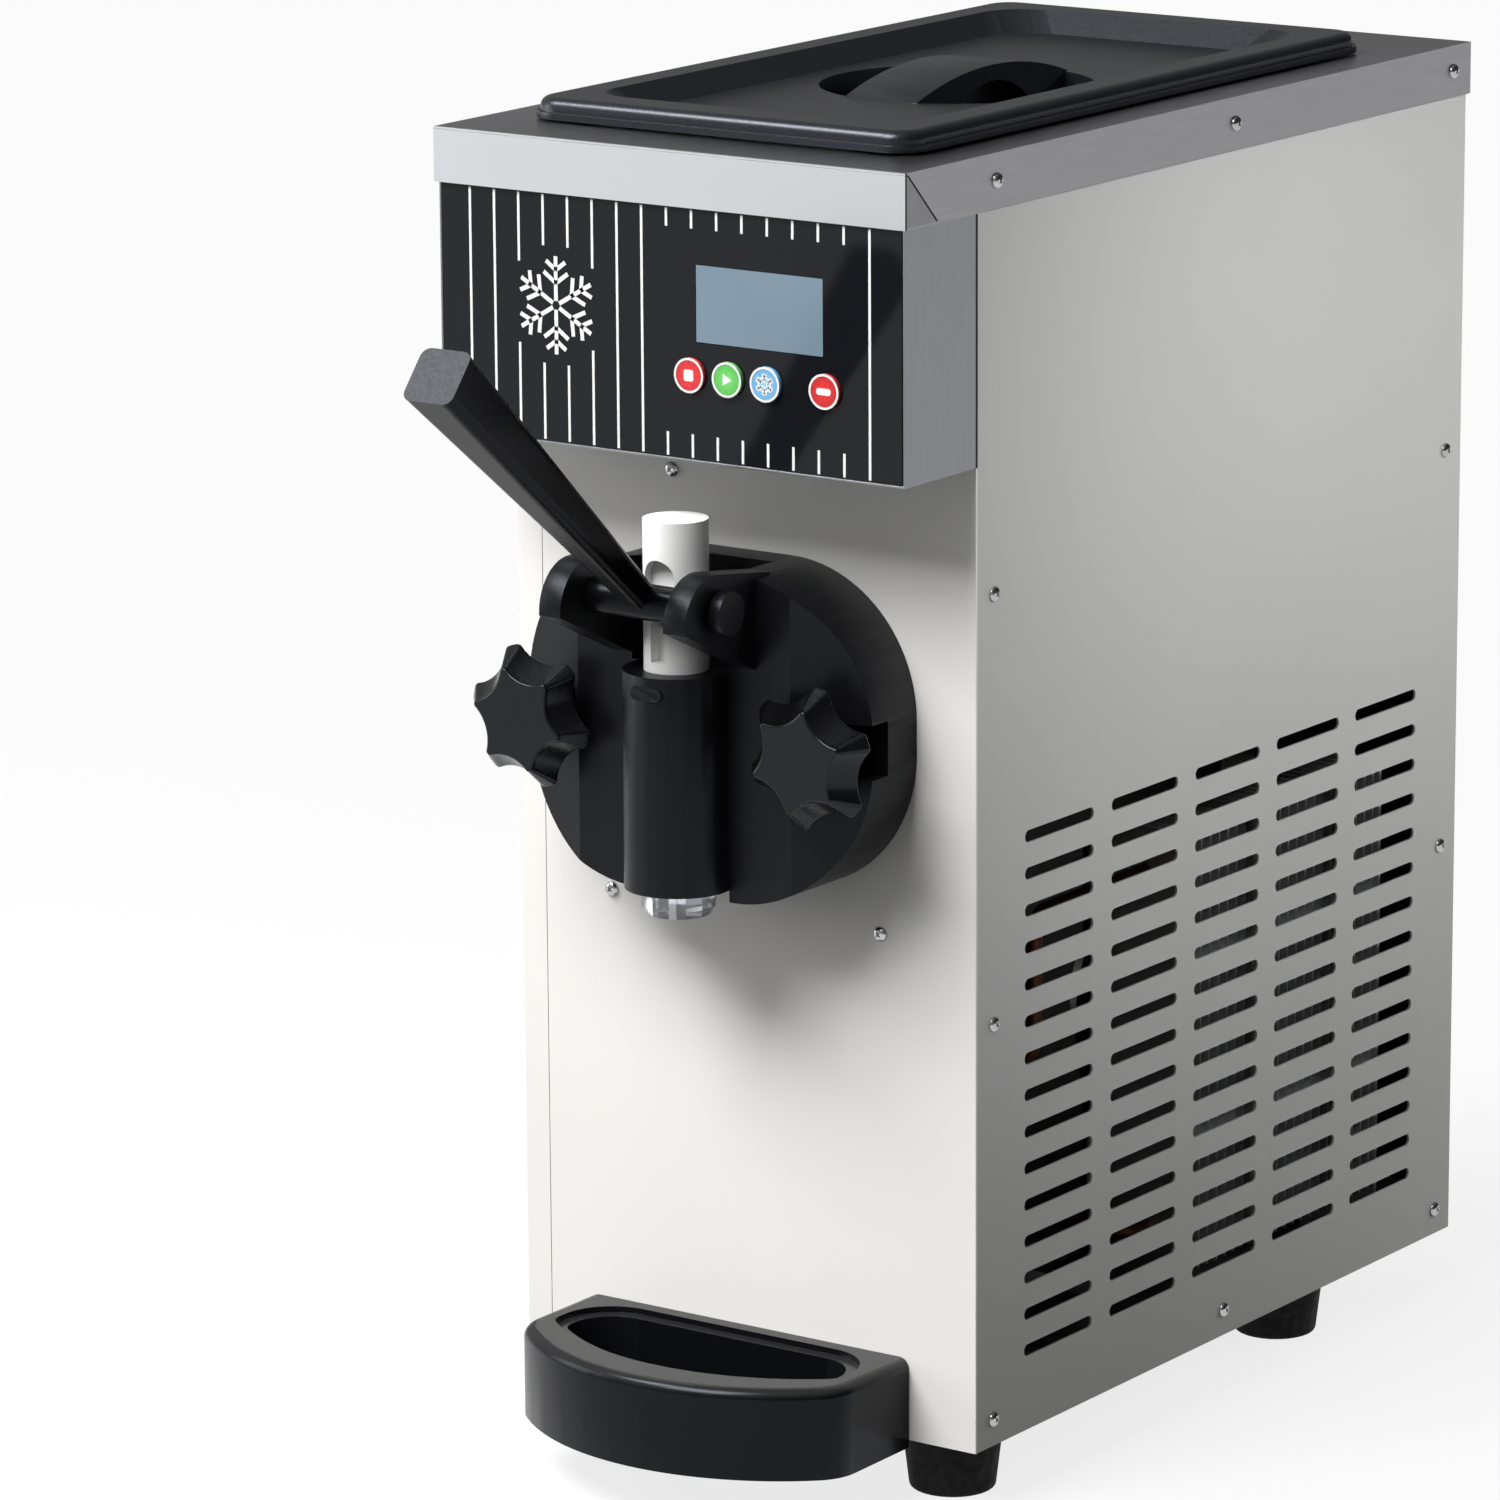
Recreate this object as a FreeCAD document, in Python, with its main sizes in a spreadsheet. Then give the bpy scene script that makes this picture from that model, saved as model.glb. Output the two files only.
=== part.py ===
"""Countertop soft-serve ice cream machine, one flavour, as a parametric document.

Pieces are drawn in the cabinet's frame: x to the right, y to the back from the front panel's
outer face, z up from the underside of the base pan. Each finished piece is then placed in the
part's own frame, whose origin lies on the table under the middle of the whole machine.
"""
import FreeCAD, Part
import math
import os
import re

import Sketcher
from FreeCAD import Placement, Rotation, Vector

SIZES = {
    # Cabinet, sheet metal and the gaps between neighbouring pieces
    "cabinet_width": 216.0,
    "cabinet_depth": 366.0,
    "cabinet_height": 508.6,
    "front_setback": 85.2,
    "sheet_wall": 1.0,
    "fit_gap": 0.3,
    "run_gap": 0.5,
    "corner_flange": 11.5,
    "return_flange": 22.0,
    "pan_wall": 1.2,
    "pan_floor": 1.5,
    "pan_flange": 18.0,
    "foot_height": 25.0,
    "foot_top_radius": 20.0,
    "foot_base_radius": 17.0,
    "foot_round": 2.0,
    "foot_side_inset": 28.0,
    "foot_front_inset": 26.0,
    "foot_rear_inset": 96.0,
    "foot_stud_radius": 3.0,
    "foot_stud_length": 9.0,
    # Cap, screws and ventilation slots
    "cap_skirt": 21.4,
    "cap_reach": 49.1,
    "cap_rear_lip": 1.8,
    "cap_side_gap": 0.15,
    "screw_radius": 1.5,
    "screw_length": 7.0,
    "screw_head_radius": 3.1,
    "screw_head_height": 2.0,
    "screw_inset": 12.4,
    "side_screw_low": 10.9,
    "side_screw_middle": 170.3,
    "side_screw_high": 339.5,
    "front_screw_reach": 64.0,
    "front_screw_low": 202.5,
    "front_screw_left": 33.1,
    "front_screw_high": 374.6,
    "slot_length": 49.0,
    "slot_height": 5.0,
    "slot_first_depth": 34.4,
    "slot_first_height": 30.0,
    "slot_column_pitch": 62.1,
    "slot_row_pitch": 14.8,
    "slot_columns": 5,
    "slot_rows": 15,
    "rear_slot_first_height": 250.0,
    "rear_slot_columns": 3,
    "rear_slot_rows": 5,
    # Control box on the front
    "control_height": 97.4,
    "control_tuck": 12.0,
    "fascia_wall": 2.0,
    "display_reach": 42.2,
    "display_rise": 61.2,
    "display_width": 58.5,
    "display_height": 30.0,
    "display_module_margin": 2.0,
    "button_radius": 6.75,
    "button_rise": 33.6,
    "button_first": 10.6,
    "button_pitch": 17.5,
    "button_last": 72.5,
    "button_proud": 1.6,
    "button_travel": 0.8,
    "button_lip": 1.6,
    "button_lip_wall": 1.2,
    "button_edge": 0.8,
    "board_width": 104.0,
    "board_height": 74.0,
    "board_wall": 1.6,
    "board_standoff": 7.5,
    "board_standoff_radius": 3.0,
    "board_edge": 5.0,
    "switch_side": 7.0,
    "relay_width": 19.0,
    "relay_height": 15.5,
    "relay_depth": 15.0,
    "wire_hole_radius": 14.0,
    # Mix hopper and its lid
    "hopper_width": 140.0,
    "hopper_length": 296.0,
    "hopper_front": 3.0,
    "hopper_depth": 112.0,
    "hopper_wall": 1.0,
    "hopper_corner": 22.0,
    "hopper_flange": 12.0,
    "hopper_flange_wall": 0.8,
    "neck_radius": 11.0,
    "neck_wall": 2.0,
    "neck_depth": 22.0,
    "feed_tube_wall": 3.0,
    "feed_tube_length": 130.0,
    "lid_width": 180.0,
    "lid_length": 336.0,
    "lid_front": 18.0,
    "lid_height": 8.0,
    "lid_lip": 1.6,
    "lid_lip_height": 2.6,
    "lid_corner": 14.0,
    "lid_round": 4.0,
    "lid_wall": 3.0,
    "lid_rim_side": 17.0,
    "lid_rim_end": 20.0,
    "recess_slope": 8.0,
    "recess_depth": 8.5,
    "recess_corner": 26.0,
    "dimple_radius": 55.0,
    "dimple_depth": 17.0,
    "handle_width": 34.0,
    "handle_crown": 9.0,
    "handle_wall": 6.5,
    "handle_opening": 68.0,
    # Freezing cylinder and what turns in it
    "barrel_rise": 280.0,
    "barrel_bore": 45.0,
    "barrel_wall": 2.0,
    "barrel_length": 225.0,
    "barrel_back": 3.0,
    "barrel_plate_width": 156.0,
    "barrel_plate_height": 100.0,
    "barrel_plate_wall": 4.0,
    "barrel_boss_radius": 21.0,
    "barrel_boss_length": 7.0,
    "inlet_wall": 3.0,
    "inlet_rise": 68.0,
    "jacket_start": 40.0,
    "jacket_length": 165.0,
    "jacket_wall": 7.0,
    "foam_wall": 17.0,
    "beater_bar_circle": 34.0,
    "beater_bar_radius": 4.0,
    "beater_ring_wall": 5.0,
    "beater_shaft_radius": 8.0,
    "beater_bars": 4,
    "scraper_wall": 2.5,
    "seal_wall": 5.0,
    # Dispensing head, valve and draw lever
    "head_width": 162.0,
    "head_height": 129.5,
    "head_rise": 67.0,
    "head_corner": 58.0,
    "head_depth": 40.0,
    "head_rim_depth": 30.0,
    "head_flat": 100.0,
    "spigot_length": 10.0,
    "head_seal_radius": 1.7,
    "valve_reach": 44.0,
    "column_radius": 21.0,
    "column_top": 308.0,
    "column_bottom": 222.0,
    "head_notch_length": 32.0,
    "recess_back": 14.0,
    "ear_inner": 24.0,
    "ear_wall": 10.0,
    "ear_reach": 86.0,
    "ear_tip": 332.0,
    "ear_top": 355.0,
    "ear_foot": 306.0,
    "ear_round": 19.0,
    "plunger_radius": 12.7,
    "plunger_bottom": 236.0,
    "plunger_top": 366.6,
    "plunger_gap": 0.3,
    "plunger_seal_radius": 1.4,
    "plunger_seal_low": 3.0,
    "plunger_seal_pitch": 50.0,
    "plunger_notch_width": 13.6,
    "plunger_notch_top": 352.0,
    "plunger_slot_width": 6.6,
    "plunger_slot_bottom": 312.0,
    "plunger_slot_depth": 6.0,
    "port_width": 18.0,
    "port_height": 8.0,
    "port_rise": 6.0,
    "pivot_reach": 64.4,
    "pivot_rise": 337.5,
    "hub_radius": 7.0,
    "lever_length": 165.6,
    "lever_tilt": 40.0,
    "lever_root": 11.0,
    "lever_end": 22.5,
    "lever_round": 4.0,
    "finger_length": 20.5,
    "finger_tilt": 22.5,
    "finger_shank": 5.0,
    "finger_tip_radius": 4.0,
    "finger_width": 5.6,
    "pin_radius": 3.5,
    "pin_head_radius": 8.4,
    "pin_head_wall": 5.0,
    "pin_head_gap": 1.5,
    "nozzle_radius": 14.6,
    "nozzle_length": 10.0,
    "nozzle_spigot": 6.0,
    "nozzle_star_outer": 9.0,
    "nozzle_star_inner": 5.0,
    "nozzle_points": 6,
    # Studs and star knobs that clamp the head
    "stud_reach": 65.7,
    "stud_rise": 282.0,
    "stud_radius": 4.0,
    "stud_end": 50.0,
    "stud_pocket_height": 21.5,
    "stud_pocket_back": 19.6,
    "stud_pocket_inner": 52.0,
    "stud_head_radius": 6.5,
    "stud_head_wall": 5.0,
    "knob_front_radius": 20.8,
    "knob_front_valley": 15.6,
    "knob_rear_radius": 28.3,
    "knob_rear_valley": 22.0,
    "knob_flute": 16.5,
    "knob_front_lobe_round": 1.6,
    "knob_rear_lobe_round": 2.6,
    "knob_lobes": 6,
    "knob_wall": 11.4,
    "knob_round": 1.0,
    "knob_boss_radius": 9.0,
    "knob_rear": 48.6,
    "left_knob_turn": 47.5,
    "right_knob_turn": 20.0,
    # Drip tray and the rails that it slides on
    "tray_width": 154.0,
    "tray_reach": 80.0,
    "tray_front_radius": 105.0,
    "tray_corner": 20.0,
    "tray_drop": 3.0,
    "tray_height": 36.5,
    "tray_round": 4.5,
    "tray_rear_margin": 6.5,
    "tray_rim": 8.5,
    "tray_front_rim": 18.0,
    "tray_ledge": 5.0,
    "tray_ledge_depth": 2.5,
    "tray_hollow_corner": 9.0,
    "tray_ledge_corner": 22.0,
    "tray_basin_corner": 18.0,
    "tray_floor": 3.0,
    "tray_rail_wall": 3.0,
    "tray_rail_height": 10.0,
    "tray_rail_length": 36.0,
    "tray_rail_inset": 6.0,
    # Drive train
    "gear_module": 2.0,
    "gear_teeth": 45,
    "pinion_teeth": 15,
    "gear_face": 20.0,
    "gear_backlash": 0.7,
    "gear_pressure": 20.0,
    "gear_start": 8.0,
    "pinion_shaft_radius": 6.0,
    "drive_plate_wall": 4.0,
    "drive_plate_top": 345.0,
    "drive_plate_width": 150.0,
    "drive_plate_waist": 188.0,
    "drive_plate_left": 104.0,
    "drive_plate_right": 8.0,
    "gearbox_depth": 58.0,
    "gearbox_wall": 4.0,
    "gearbox_side": 53.0,
    "gearbox_top": 52.0,
    "gearbox_bottom": 84.0,
    "pulley_start": 72.0,
    "pulley_face": 14.0,
    "gearbox_pulley_radius": 40.0,
    "motor_pulley_radius": 20.0,
    "pulley_flange": 3.0,
    "pulley_flange_wall": 2.0,
    "belt_wall": 4.0,
    "motor_left": 52.0,
    "motor_rise": 95.0,
    "motor_radius": 46.0,
    "motor_length": 64.0,
    "motor_shaft_radius": 7.0,
    # Refrigeration
    "compressor_left": 12.0,
    "compressor_depth": 78.0,
    "compressor_radius": 64.0,
    "compressor_height": 172.0,
    "compressor_crown": 26.0,
    "compressor_base": 144.0,
    "compressor_base_wall": 3.0,
    "mount_height": 13.0,
    "mount_radius": 10.0,
    "mount_inset": 20.0,
    "condenser_right": 102.0,
    "condenser_wall": 36.0,
    "condenser_start": 160.0,
    "condenser_length": 155.0,
    "condenser_bottom": 30.0,
    "condenser_height": 185.0,
    "condenser_plate": 2.0,
    "fin_wall": 0.8,
    "fin_count": 22,
    "condenser_tube_radius": 4.5,
    "condenser_tube_rows": 5,
    "condenser_tube_columns": 2,
    "shroud_wall": 3.0,
    "shroud_duct": 22.0,
    "fan_radius": 56.0,
    "fan_tip_gap": 3.0,
    "fan_blades": 5,
    "fan_hub_radius": 15.0,
    "fan_hub_length": 14.0,
    "fan_blade_wall": 2.0,
    "fan_blade_chord": 16.0,
    "fan_blade_pitch": 30.0,
    "fan_motor_radius": 24.0,
    "fan_motor_length": 24.0,
    "fan_shaft_radius": 3.0,
    "spider_width": 9.0,
    "drier_radius": 10.0,
    "drier_length": 90.0,
    "drier_left": 80.0,
    "drier_rise": 60.0,
    "pipe_radius": 3.2,
    "pipe_bend": 8.0,
    # Mains inlet on the back
    "inlet_left": 60.0,
    "inlet_height": 30.0,
    "inlet_flange_width": 48.0,
    "inlet_flange_height": 28.0,
    "inlet_flange_wall": 2.0,
    "inlet_body_width": 28.0,
    "inlet_body_height": 20.0,
    "inlet_body_depth": 22.0,
    "inlet_socket_wall": 2.0,
    "inlet_pin_length": 12.0,
}

doc = FreeCAD.newDocument("soft_serve_machine")
sheet = doc.addObject("Spreadsheet::Sheet", "Sizes")
for line, (alias, value) in enumerate(SIZES.items(), start=1):
    sheet.set(f"A{line}", alias)
    sheet.set(f"B{line}", str(value))
    sheet.setAlias(f"B{line}", alias)
doc.recompute()

nodes = []
WORD = re.compile(r"[a-z][a-z_]*")
TURNS = {
    "z": Rotation(),
    "y": Rotation(Vector(1, 0, 0), -90),
    "x": Rotation(Vector(0, 1, 0), 90),
    "-y": Rotation(Vector(1, 0, 0), 90),
    "-x": Rotation(Vector(0, 1, 0), -90),
}
OPPOSITE = {"x": "-x", "-x": "x", "y": "-y"}

# Rules that several pieces share
HALF = "cabinet_width / 2"
CAP_BOTTOM = "(cabinet_height - cap_skirt)"
PANEL_TOP = "(cabinet_height - sheet_wall - fit_gap)"
INSIDE = "(cabinet_width / 2 - sheet_wall - fit_gap)"
PAN_TOP = "(pan_flange + fit_gap)"
CONTROL_BOTTOM = "(cabinet_height - cap_skirt - control_height)"
CONTROL_FRONT = "(cap_reach - sheet_wall - fit_gap)"
HOPPER_FLOOR = "(cabinet_height - hopper_depth)"
PLATE_FRONT = "(barrel_length + barrel_boss_length)"
PLATE_BACK = "(barrel_length + barrel_boss_length + drive_plate_wall)"
GEAR_CENTRES = "(gear_module * (gear_teeth + pinion_teeth) / 2)"
LID_BOTTOM = "(cabinet_height + hopper_flange_wall + fit_gap)"
LID_TOP = "(cabinet_height + hopper_flange_wall + fit_gap + lid_height)"


def number(name):
    """The value of one named size."""
    return float(sheet.get(name))


def tied(rule):
    """A rule in plain words as an expression on the sheet of sizes."""
    def cell(found):
        return f"Sizes.{found.group()}" if found.group() in SIZES else found.group()
    return WORD.sub(cell, str(rule))


def bind(item, prop, rule):
    item.setExpression(prop, tied(rule))


def put(item, at, turn=TURNS["z"]):
    """Place an item at three rules, turned as asked."""
    item.Placement = Placement(Vector(), turn)
    for letter, rule in zip("xyz", at):
        bind(item, f"Placement.Base.{letter}", rule)
    return item


def node(item, label):
    """Name a finished piece and move it from the cabinet's frame to the part's own."""
    item.Label = label
    put(item, (0, "-front_setback", "foot_height"))
    nodes.append(item)
    return item


def block(name, x, y, z):
    """A box between two rules on each axis."""
    item = doc.addObject("Part::Box", name)
    for prop, (low, high) in zip(("Length", "Width", "Height"), (x, y, z)):
        bind(item, prop, f"({high}) - ({low})")
    return put(item, (x[0], y[0], z[0]))


def rod(name, axis, radius, length, at):
    """A cylinder that starts at a point and runs along an axis."""
    item = doc.addObject("Part::Cylinder", name)
    bind(item, "Radius", radius)
    bind(item, "Height", length)
    return put(item, at, TURNS[axis])


def ring(name, axis, outer, inner, length, at):
    """A tube: one cylinder less another."""
    return less(name, rod(name + "_outer", axis, outer, length, at),
                rod(name + "_inner", axis, inner, length, at))


def fused(name, *items):
    item = doc.addObject("Part::MultiFuse", name)
    item.Shapes = list(items)
    item.Refine = True
    return item


def group(name, *items):
    item = doc.addObject("Part::Compound", name)
    item.Links = list(items)
    return item


def less(name, base, *tools):
    item = doc.addObject("Part::Cut", name)
    item.Base = base
    item.Tool = tools[0] if len(tools) == 1 else fused(name + "_tools", *tools)
    item.Refine = True
    return item


def overlap(name, first, second):
    item = doc.addObject("Part::Common", name)
    item.Base = first
    item.Tool = second
    return item


def rounded(name, base, radius, chosen):
    """The base with the chosen edges rounded."""
    doc.recompute()
    item = doc.addObject("Part::Fillet", name)
    item.Base = base
    item.Edges = [(place, radius, radius) for place, edge in enumerate(base.Shape.Edges, 1) if chosen(edge)]
    return item


def runs_along(axis):
    """A test for straight edges parallel to one axis."""
    wanted = {"x": Vector(1, 0, 0), "y": Vector(0, 1, 0), "z": Vector(0, 0, 1)}[axis]

    def test(edge):
        ends = [vertex.Point for vertex in edge.Vertexes]
        if edge.Curve.TypeId != "Part::GeomLine" or len(ends) < 2:
            return False
        return (ends[1] - ends[0]).normalize().cross(wanted).Length < 1e-6
    return test


def at_level(axis, level, slack=0.01):
    """A test for edges that lie whole at one level of an axis."""
    def test(edge):
        box = edge.BoundBox
        low, high = {"x": (box.XMin, box.XMax), "y": (box.YMin, box.YMax), "z": (box.ZMin, box.ZMax)}[axis]
        return abs(low - level) < slack and abs(high - level) < slack
    return test


def solid(name, shape):
    """A piece whose shape is made here from sizes read off the sheet."""
    item = doc.addObject("Part::Feature", name)
    item.Shape = shape
    return item


def new_body(name):
    return doc.addObject("PartDesign::Body", name)


def sketch_on(body, role, name, offset="0"):
    """A sketch on one of the body's own origin planes, moved off it by a rule."""
    sketch = body.newObject("Sketcher::SketchObject", name)
    plane = next(item for item in body.Origin.OriginFeatures if item.Role == role)
    sketch.AttachmentSupport = [(plane, "")]
    sketch.MapMode = "FlatFace"
    bind(sketch, "AttachmentOffset.Base.z", offset)
    return sketch


def tie_point(sketch, geometry, spot, at):
    """Hold one point of a sketch at two rules."""
    for kind, rule in zip(("DistanceX", "DistanceY"), at):
        place = sketch.addConstraint(Sketcher.Constraint(kind, -1, 1, geometry, spot, 1.0))
        bind(sketch, f"Constraints[{place}]", rule)


def outline(sketch, corners):
    """A closed run of straight lines through corners given as rules."""
    count = len(corners)
    first = sketch.GeometryCount
    spots = [Vector(math.cos(2 * math.pi * k / count), math.sin(2 * math.pi * k / count))
             for k in range(count)]
    for k in range(count):
        sketch.addGeometry(Part.LineSegment(spots[k], spots[(k + 1) % count]))
    for k in range(count):
        sketch.addConstraint(Sketcher.Constraint("Coincident", first + k, 2, first + (k + 1) % count, 1))
        tie_point(sketch, first + k, 1, corners[k])


def round_hole(sketch, radius, at=("0", "0")):
    """A circle held at two rules."""
    geometry = sketch.addGeometry(Part.Circle(Vector(), Vector(0, 0, 1), 1.0))
    place = sketch.addConstraint(Sketcher.Constraint("Radius", geometry, 1.0))
    bind(sketch, f"Constraints[{place}]", radius)
    tie_point(sketch, geometry, 3, at)


def pad(body, sketch, length, name):
    item = body.newObject("PartDesign::Pad", name)
    item.Profile = sketch
    bind(item, "Length", length)
    return item


def pocket(body, sketch, name, length=None, backwards=False):
    """A cut along the sketch's normal, to a length or through everything."""
    doc.recompute()
    before = body.Shape.Volume
    item = body.newObject("PartDesign::Pocket", name)
    item.Profile = sketch
    if length is None:
        item.Type = "ThroughAll"
        item.Midplane = True
    else:
        bind(item, "Length", length)
        item.Reversed = backwards
    doc.recompute()
    if body.Shape.Volume >= before:
        raise RuntimeError(f"{name} cuts nothing")
    return item


def turned(name, profile):
    """A body turned about its z axis from a half profile of radius and height rules."""
    body = new_body(name)
    sketch = sketch_on(body, "XZ_Plane", name + "_profile")
    outline(sketch, profile)
    turn = body.newObject("PartDesign::Revolution", name + "_turn")
    turn.Profile = sketch
    turn.ReferenceAxis = (sketch, ["V_Axis"])
    return body


def edges_named(shape, chosen):
    return [f"Edge{place}" for place, edge in enumerate(shape.Edges, 1) if chosen(edge)]


def soften(body, name, radius, chosen):
    """Round the chosen edges of a body's last feature."""
    doc.recompute()
    tip = body.Tip
    item = body.newObject("PartDesign::Fillet", name)
    item.Base = (tip, edges_named(tip.Shape, chosen))
    bind(item, "Radius", radius)
    return item


def moved(name, item, at, turn=TURNS["z"]):
    """A finished item set at a place of the cabinet, as a group of one."""
    return group(name, put(item, at, turn))


def screw(name, axis, at):
    """A pan-head screw seated at a point, with its shank along an axis and its head the other way."""
    shank = rod(name + "_shank", axis, "screw_radius", "screw_length", at)
    head = turned(name + "_head", [("0", "0"), ("screw_head_radius", "0"),
                                   ("screw_head_radius", "screw_head_height * 0.4"),
                                   ("screw_head_radius * 0.6", "screw_head_height"),
                                   ("0", "screw_head_height")])
    return fused(name, shank, put(head, at, TURNS[OPPOSITE[axis]]))


def slot_rows(body, role, offset, first, columns, rows, name):
    """Rows and columns of round-ended slots cut through a sheet-metal body."""
    sketch = sketch_on(body, role, name + "_slot", offset)
    for letter, rule in zip("xy", first):
        bind(sketch, f"AttachmentOffset.Base.{letter}", rule)
    half = number("slot_height") / 2
    run = number("slot_length") - 2 * half
    ends = [Vector(half, half), Vector(half + run, half)]
    for middle, start in zip(ends, (math.pi / 2, -math.pi / 2)):
        sketch.addGeometry(Part.ArcOfCircle(Part.Circle(middle, Vector(0, 0, 1), half), start,
                                            start + math.pi))
    lift = Vector(0, half)
    sketch.addGeometry(Part.LineSegment(ends[0] - lift, ends[1] - lift))
    sketch.addGeometry(Part.LineSegment(ends[1] + lift, ends[0] + lift))
    for arc, arc_end, straight, straight_end in ((0, 2, 2, 1), (2, 2, 1, 1), (1, 2, 3, 1), (3, 2, 0, 1)):
        sketch.addConstraint(Sketcher.Constraint("Tangent", arc, arc_end, straight, straight_end))
    radius = sketch.addConstraint(Sketcher.Constraint("Radius", 0, half))
    bind(sketch, f"Constraints[{radius}]", "slot_height / 2")
    tie_point(sketch, 0, 3, ("slot_height / 2", "slot_height / 2"))
    tie_point(sketch, 1, 3, ("slot_length - slot_height / 2", "slot_height / 2"))
    cut = pocket(body, sketch, name + "_cut")
    pattern = body.newObject("PartDesign::LinearPattern", name + "_pattern")
    pattern.Originals = [cut]
    pattern.Direction = (sketch, ["H_Axis"])
    pattern.Direction2 = (sketch, ["V_Axis"])
    bind(pattern, "Length", f"({columns} - 1) * slot_column_pitch")
    bind(pattern, "Occurrences", columns)
    bind(pattern, "Length2", f"({rows} - 1) * slot_row_pitch")
    bind(pattern, "Occurrences2", rows)
    body.Tip = pattern


def rectangle(x, y):
    """The corners of a rectangle between two rules on each axis."""
    return [(x[0], y[0]), (x[1], y[0]), (x[1], y[1]), (x[0], y[1])]


# Screw places: depth and height on the sides, and along the cap's skirt

FRONT_ROW = "screw_inset"
MIDDLE_ROW = "cabinet_depth / 2"
REAR_ROW = "(cabinet_depth - screw_inset)"
LOW_SPOTS = [(row, "side_screw_low") for row in (FRONT_ROW, MIDDLE_ROW, REAR_ROW)]
REAR_SPOTS = [(REAR_ROW, "side_screw_middle"), (REAR_ROW, "side_screw_high")]
FRONT_SPOTS = [(FRONT_ROW, "side_screw_middle"), (FRONT_ROW, "side_screw_high")]
RIGHT_SPOTS = LOW_SPOTS + REAR_SPOTS + FRONT_SPOTS
LEFT_SPOTS = LOW_SPOTS + REAR_SPOTS
CAP_SPOTS = [(row, "cabinet_height - cap_skirt / 2") for row in (FRONT_ROW, MIDDLE_ROW, REAR_ROW)]
FACE_SPOTS = [("front_screw_reach", "front_screw_low"), ("-front_screw_reach", "front_screw_low"),
              ("-front_screw_left", "front_screw_high")]
HOLE = "screw_radius + fit_gap"
DRILL_LENGTH = "return_flange"


def side_drills(name, spots, side):
    """Clearance holes for the screws of one side, drilled inwards from outside the cap."""
    axis = "-x" if side > 0 else "x"
    return [rod(f"{name}_{place}", axis, HOLE, DRILL_LENGTH,
                (f"{side} * ({HALF} + return_flange / 2)", *spot))
            for place, spot in enumerate(spots)]


def face_drills(name):
    return [rod(f"{name}_{place}", "y", HOLE, "3 * sheet_wall", (spot[0], "-sheet_wall", spot[1]))
            for place, spot in enumerate(FACE_SPOTS)]


FOOT_SPOTS = [(f"{side} * ({HALF} - foot_side_inset)", depth) for side in (-1, 1)
              for depth in ("foot_front_inset", "(cabinet_depth - foot_rear_inset)")]


def base_pan():
    outer = block("pan_outer", (f"-{INSIDE}", INSIDE),
                  ("sheet_wall + fit_gap", "cabinet_depth - sheet_wall - fit_gap"), ("0", "pan_flange"))
    inner = block("pan_inner", (f"-{INSIDE} + pan_wall", f"{INSIDE} - pan_wall"),
                  ("sheet_wall + fit_gap + pan_wall", "cabinet_depth - sheet_wall - fit_gap - pan_wall"),
                  ("pan_floor", "pan_flange + pan_wall"))
    feet = [rod(f"pan_foot_hole_{place}", "z", "foot_stud_radius + fit_gap", "3 * pan_floor",
                (*spot, "-pan_floor"))
            for place, spot in enumerate(FOOT_SPOTS)]
    drills = side_drills("pan_right", LOW_SPOTS, 1) + side_drills("pan_left", LOW_SPOTS, -1)
    node(less("base_pan", outer, inner, *feet, *drills), "base_pan")


def front_panel():
    """Painted front with return flanges, the cylinder's mouth, stud holes and a hole for the wiring."""
    left = f"(-{HALF} + corner_flange + fit_gap)"
    face = block("front_face", (left, HALF), ("0", "sheet_wall"), ("0", PANEL_TOP))
    flanges = [block("front_right_flange", (f"{INSIDE} - sheet_wall", INSIDE),
                     ("sheet_wall / 2", "return_flange"), (PAN_TOP, PANEL_TOP)),
               block("front_left_flange", (left, f"{left} + sheet_wall"),
                     ("sheet_wall / 2", "return_flange"), (PAN_TOP, PANEL_TOP))]
    mouth = rod("front_mouth", "y", "barrel_bore + barrel_wall + fit_gap", "3 * sheet_wall",
                (0, "-sheet_wall", "barrel_rise"))
    studs = [rod(f"front_stud_hole_{side}", "y", "stud_radius + fit_gap", "3 * sheet_wall",
                 (f"{side} * stud_reach", "-sheet_wall", "stud_rise")) for side in (-1, 1)]
    wires = rod("front_wire_hole", "y", "wire_hole_radius", "3 * sheet_wall",
                ("display_reach", "-sheet_wall", f"{CONTROL_BOTTOM} + display_rise"))
    rails = [block(f"front_rail_slot_{side}", *rail_box(side, "fit_gap")) for side in (-1, 1)]
    drills = side_drills("front_drill", FRONT_SPOTS + CAP_SPOTS[:1], 1) + face_drills("front_face_drill")
    node(less("front_panel", fused("front_sheet", face, *flanges), mouth, wires, *studs, *rails, *drills),
         "front_panel")


def left_side_panel():
    """Left side with its narrow front flange beside the front panel."""
    body = new_body("left_sheet")
    sketch = sketch_on(body, "YZ_Plane", "left_outline", f"-{HALF}")
    outline(sketch, rectangle(("0", "cabinet_depth"), ("0", PANEL_TOP)))
    pad(body, sketch, "sheet_wall", "left_pad")
    slot_rows(body, "YZ_Plane", f"-{HALF}", ("slot_first_depth", "slot_first_height"),
              "slot_columns", "slot_rows", "left")
    flange = block("left_flange", (f"-{HALF} + sheet_wall / 2", f"-{HALF} + corner_flange"),
                   ("0", "sheet_wall"), ("0", PANEL_TOP))
    drills = side_drills("left_drill", LEFT_SPOTS, -1) + side_drills("left_cap_drill", CAP_SPOTS, -1)
    node(less("left_side_panel", fused("left_folded", body, flange), *drills), "left_side_panel")


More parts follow.
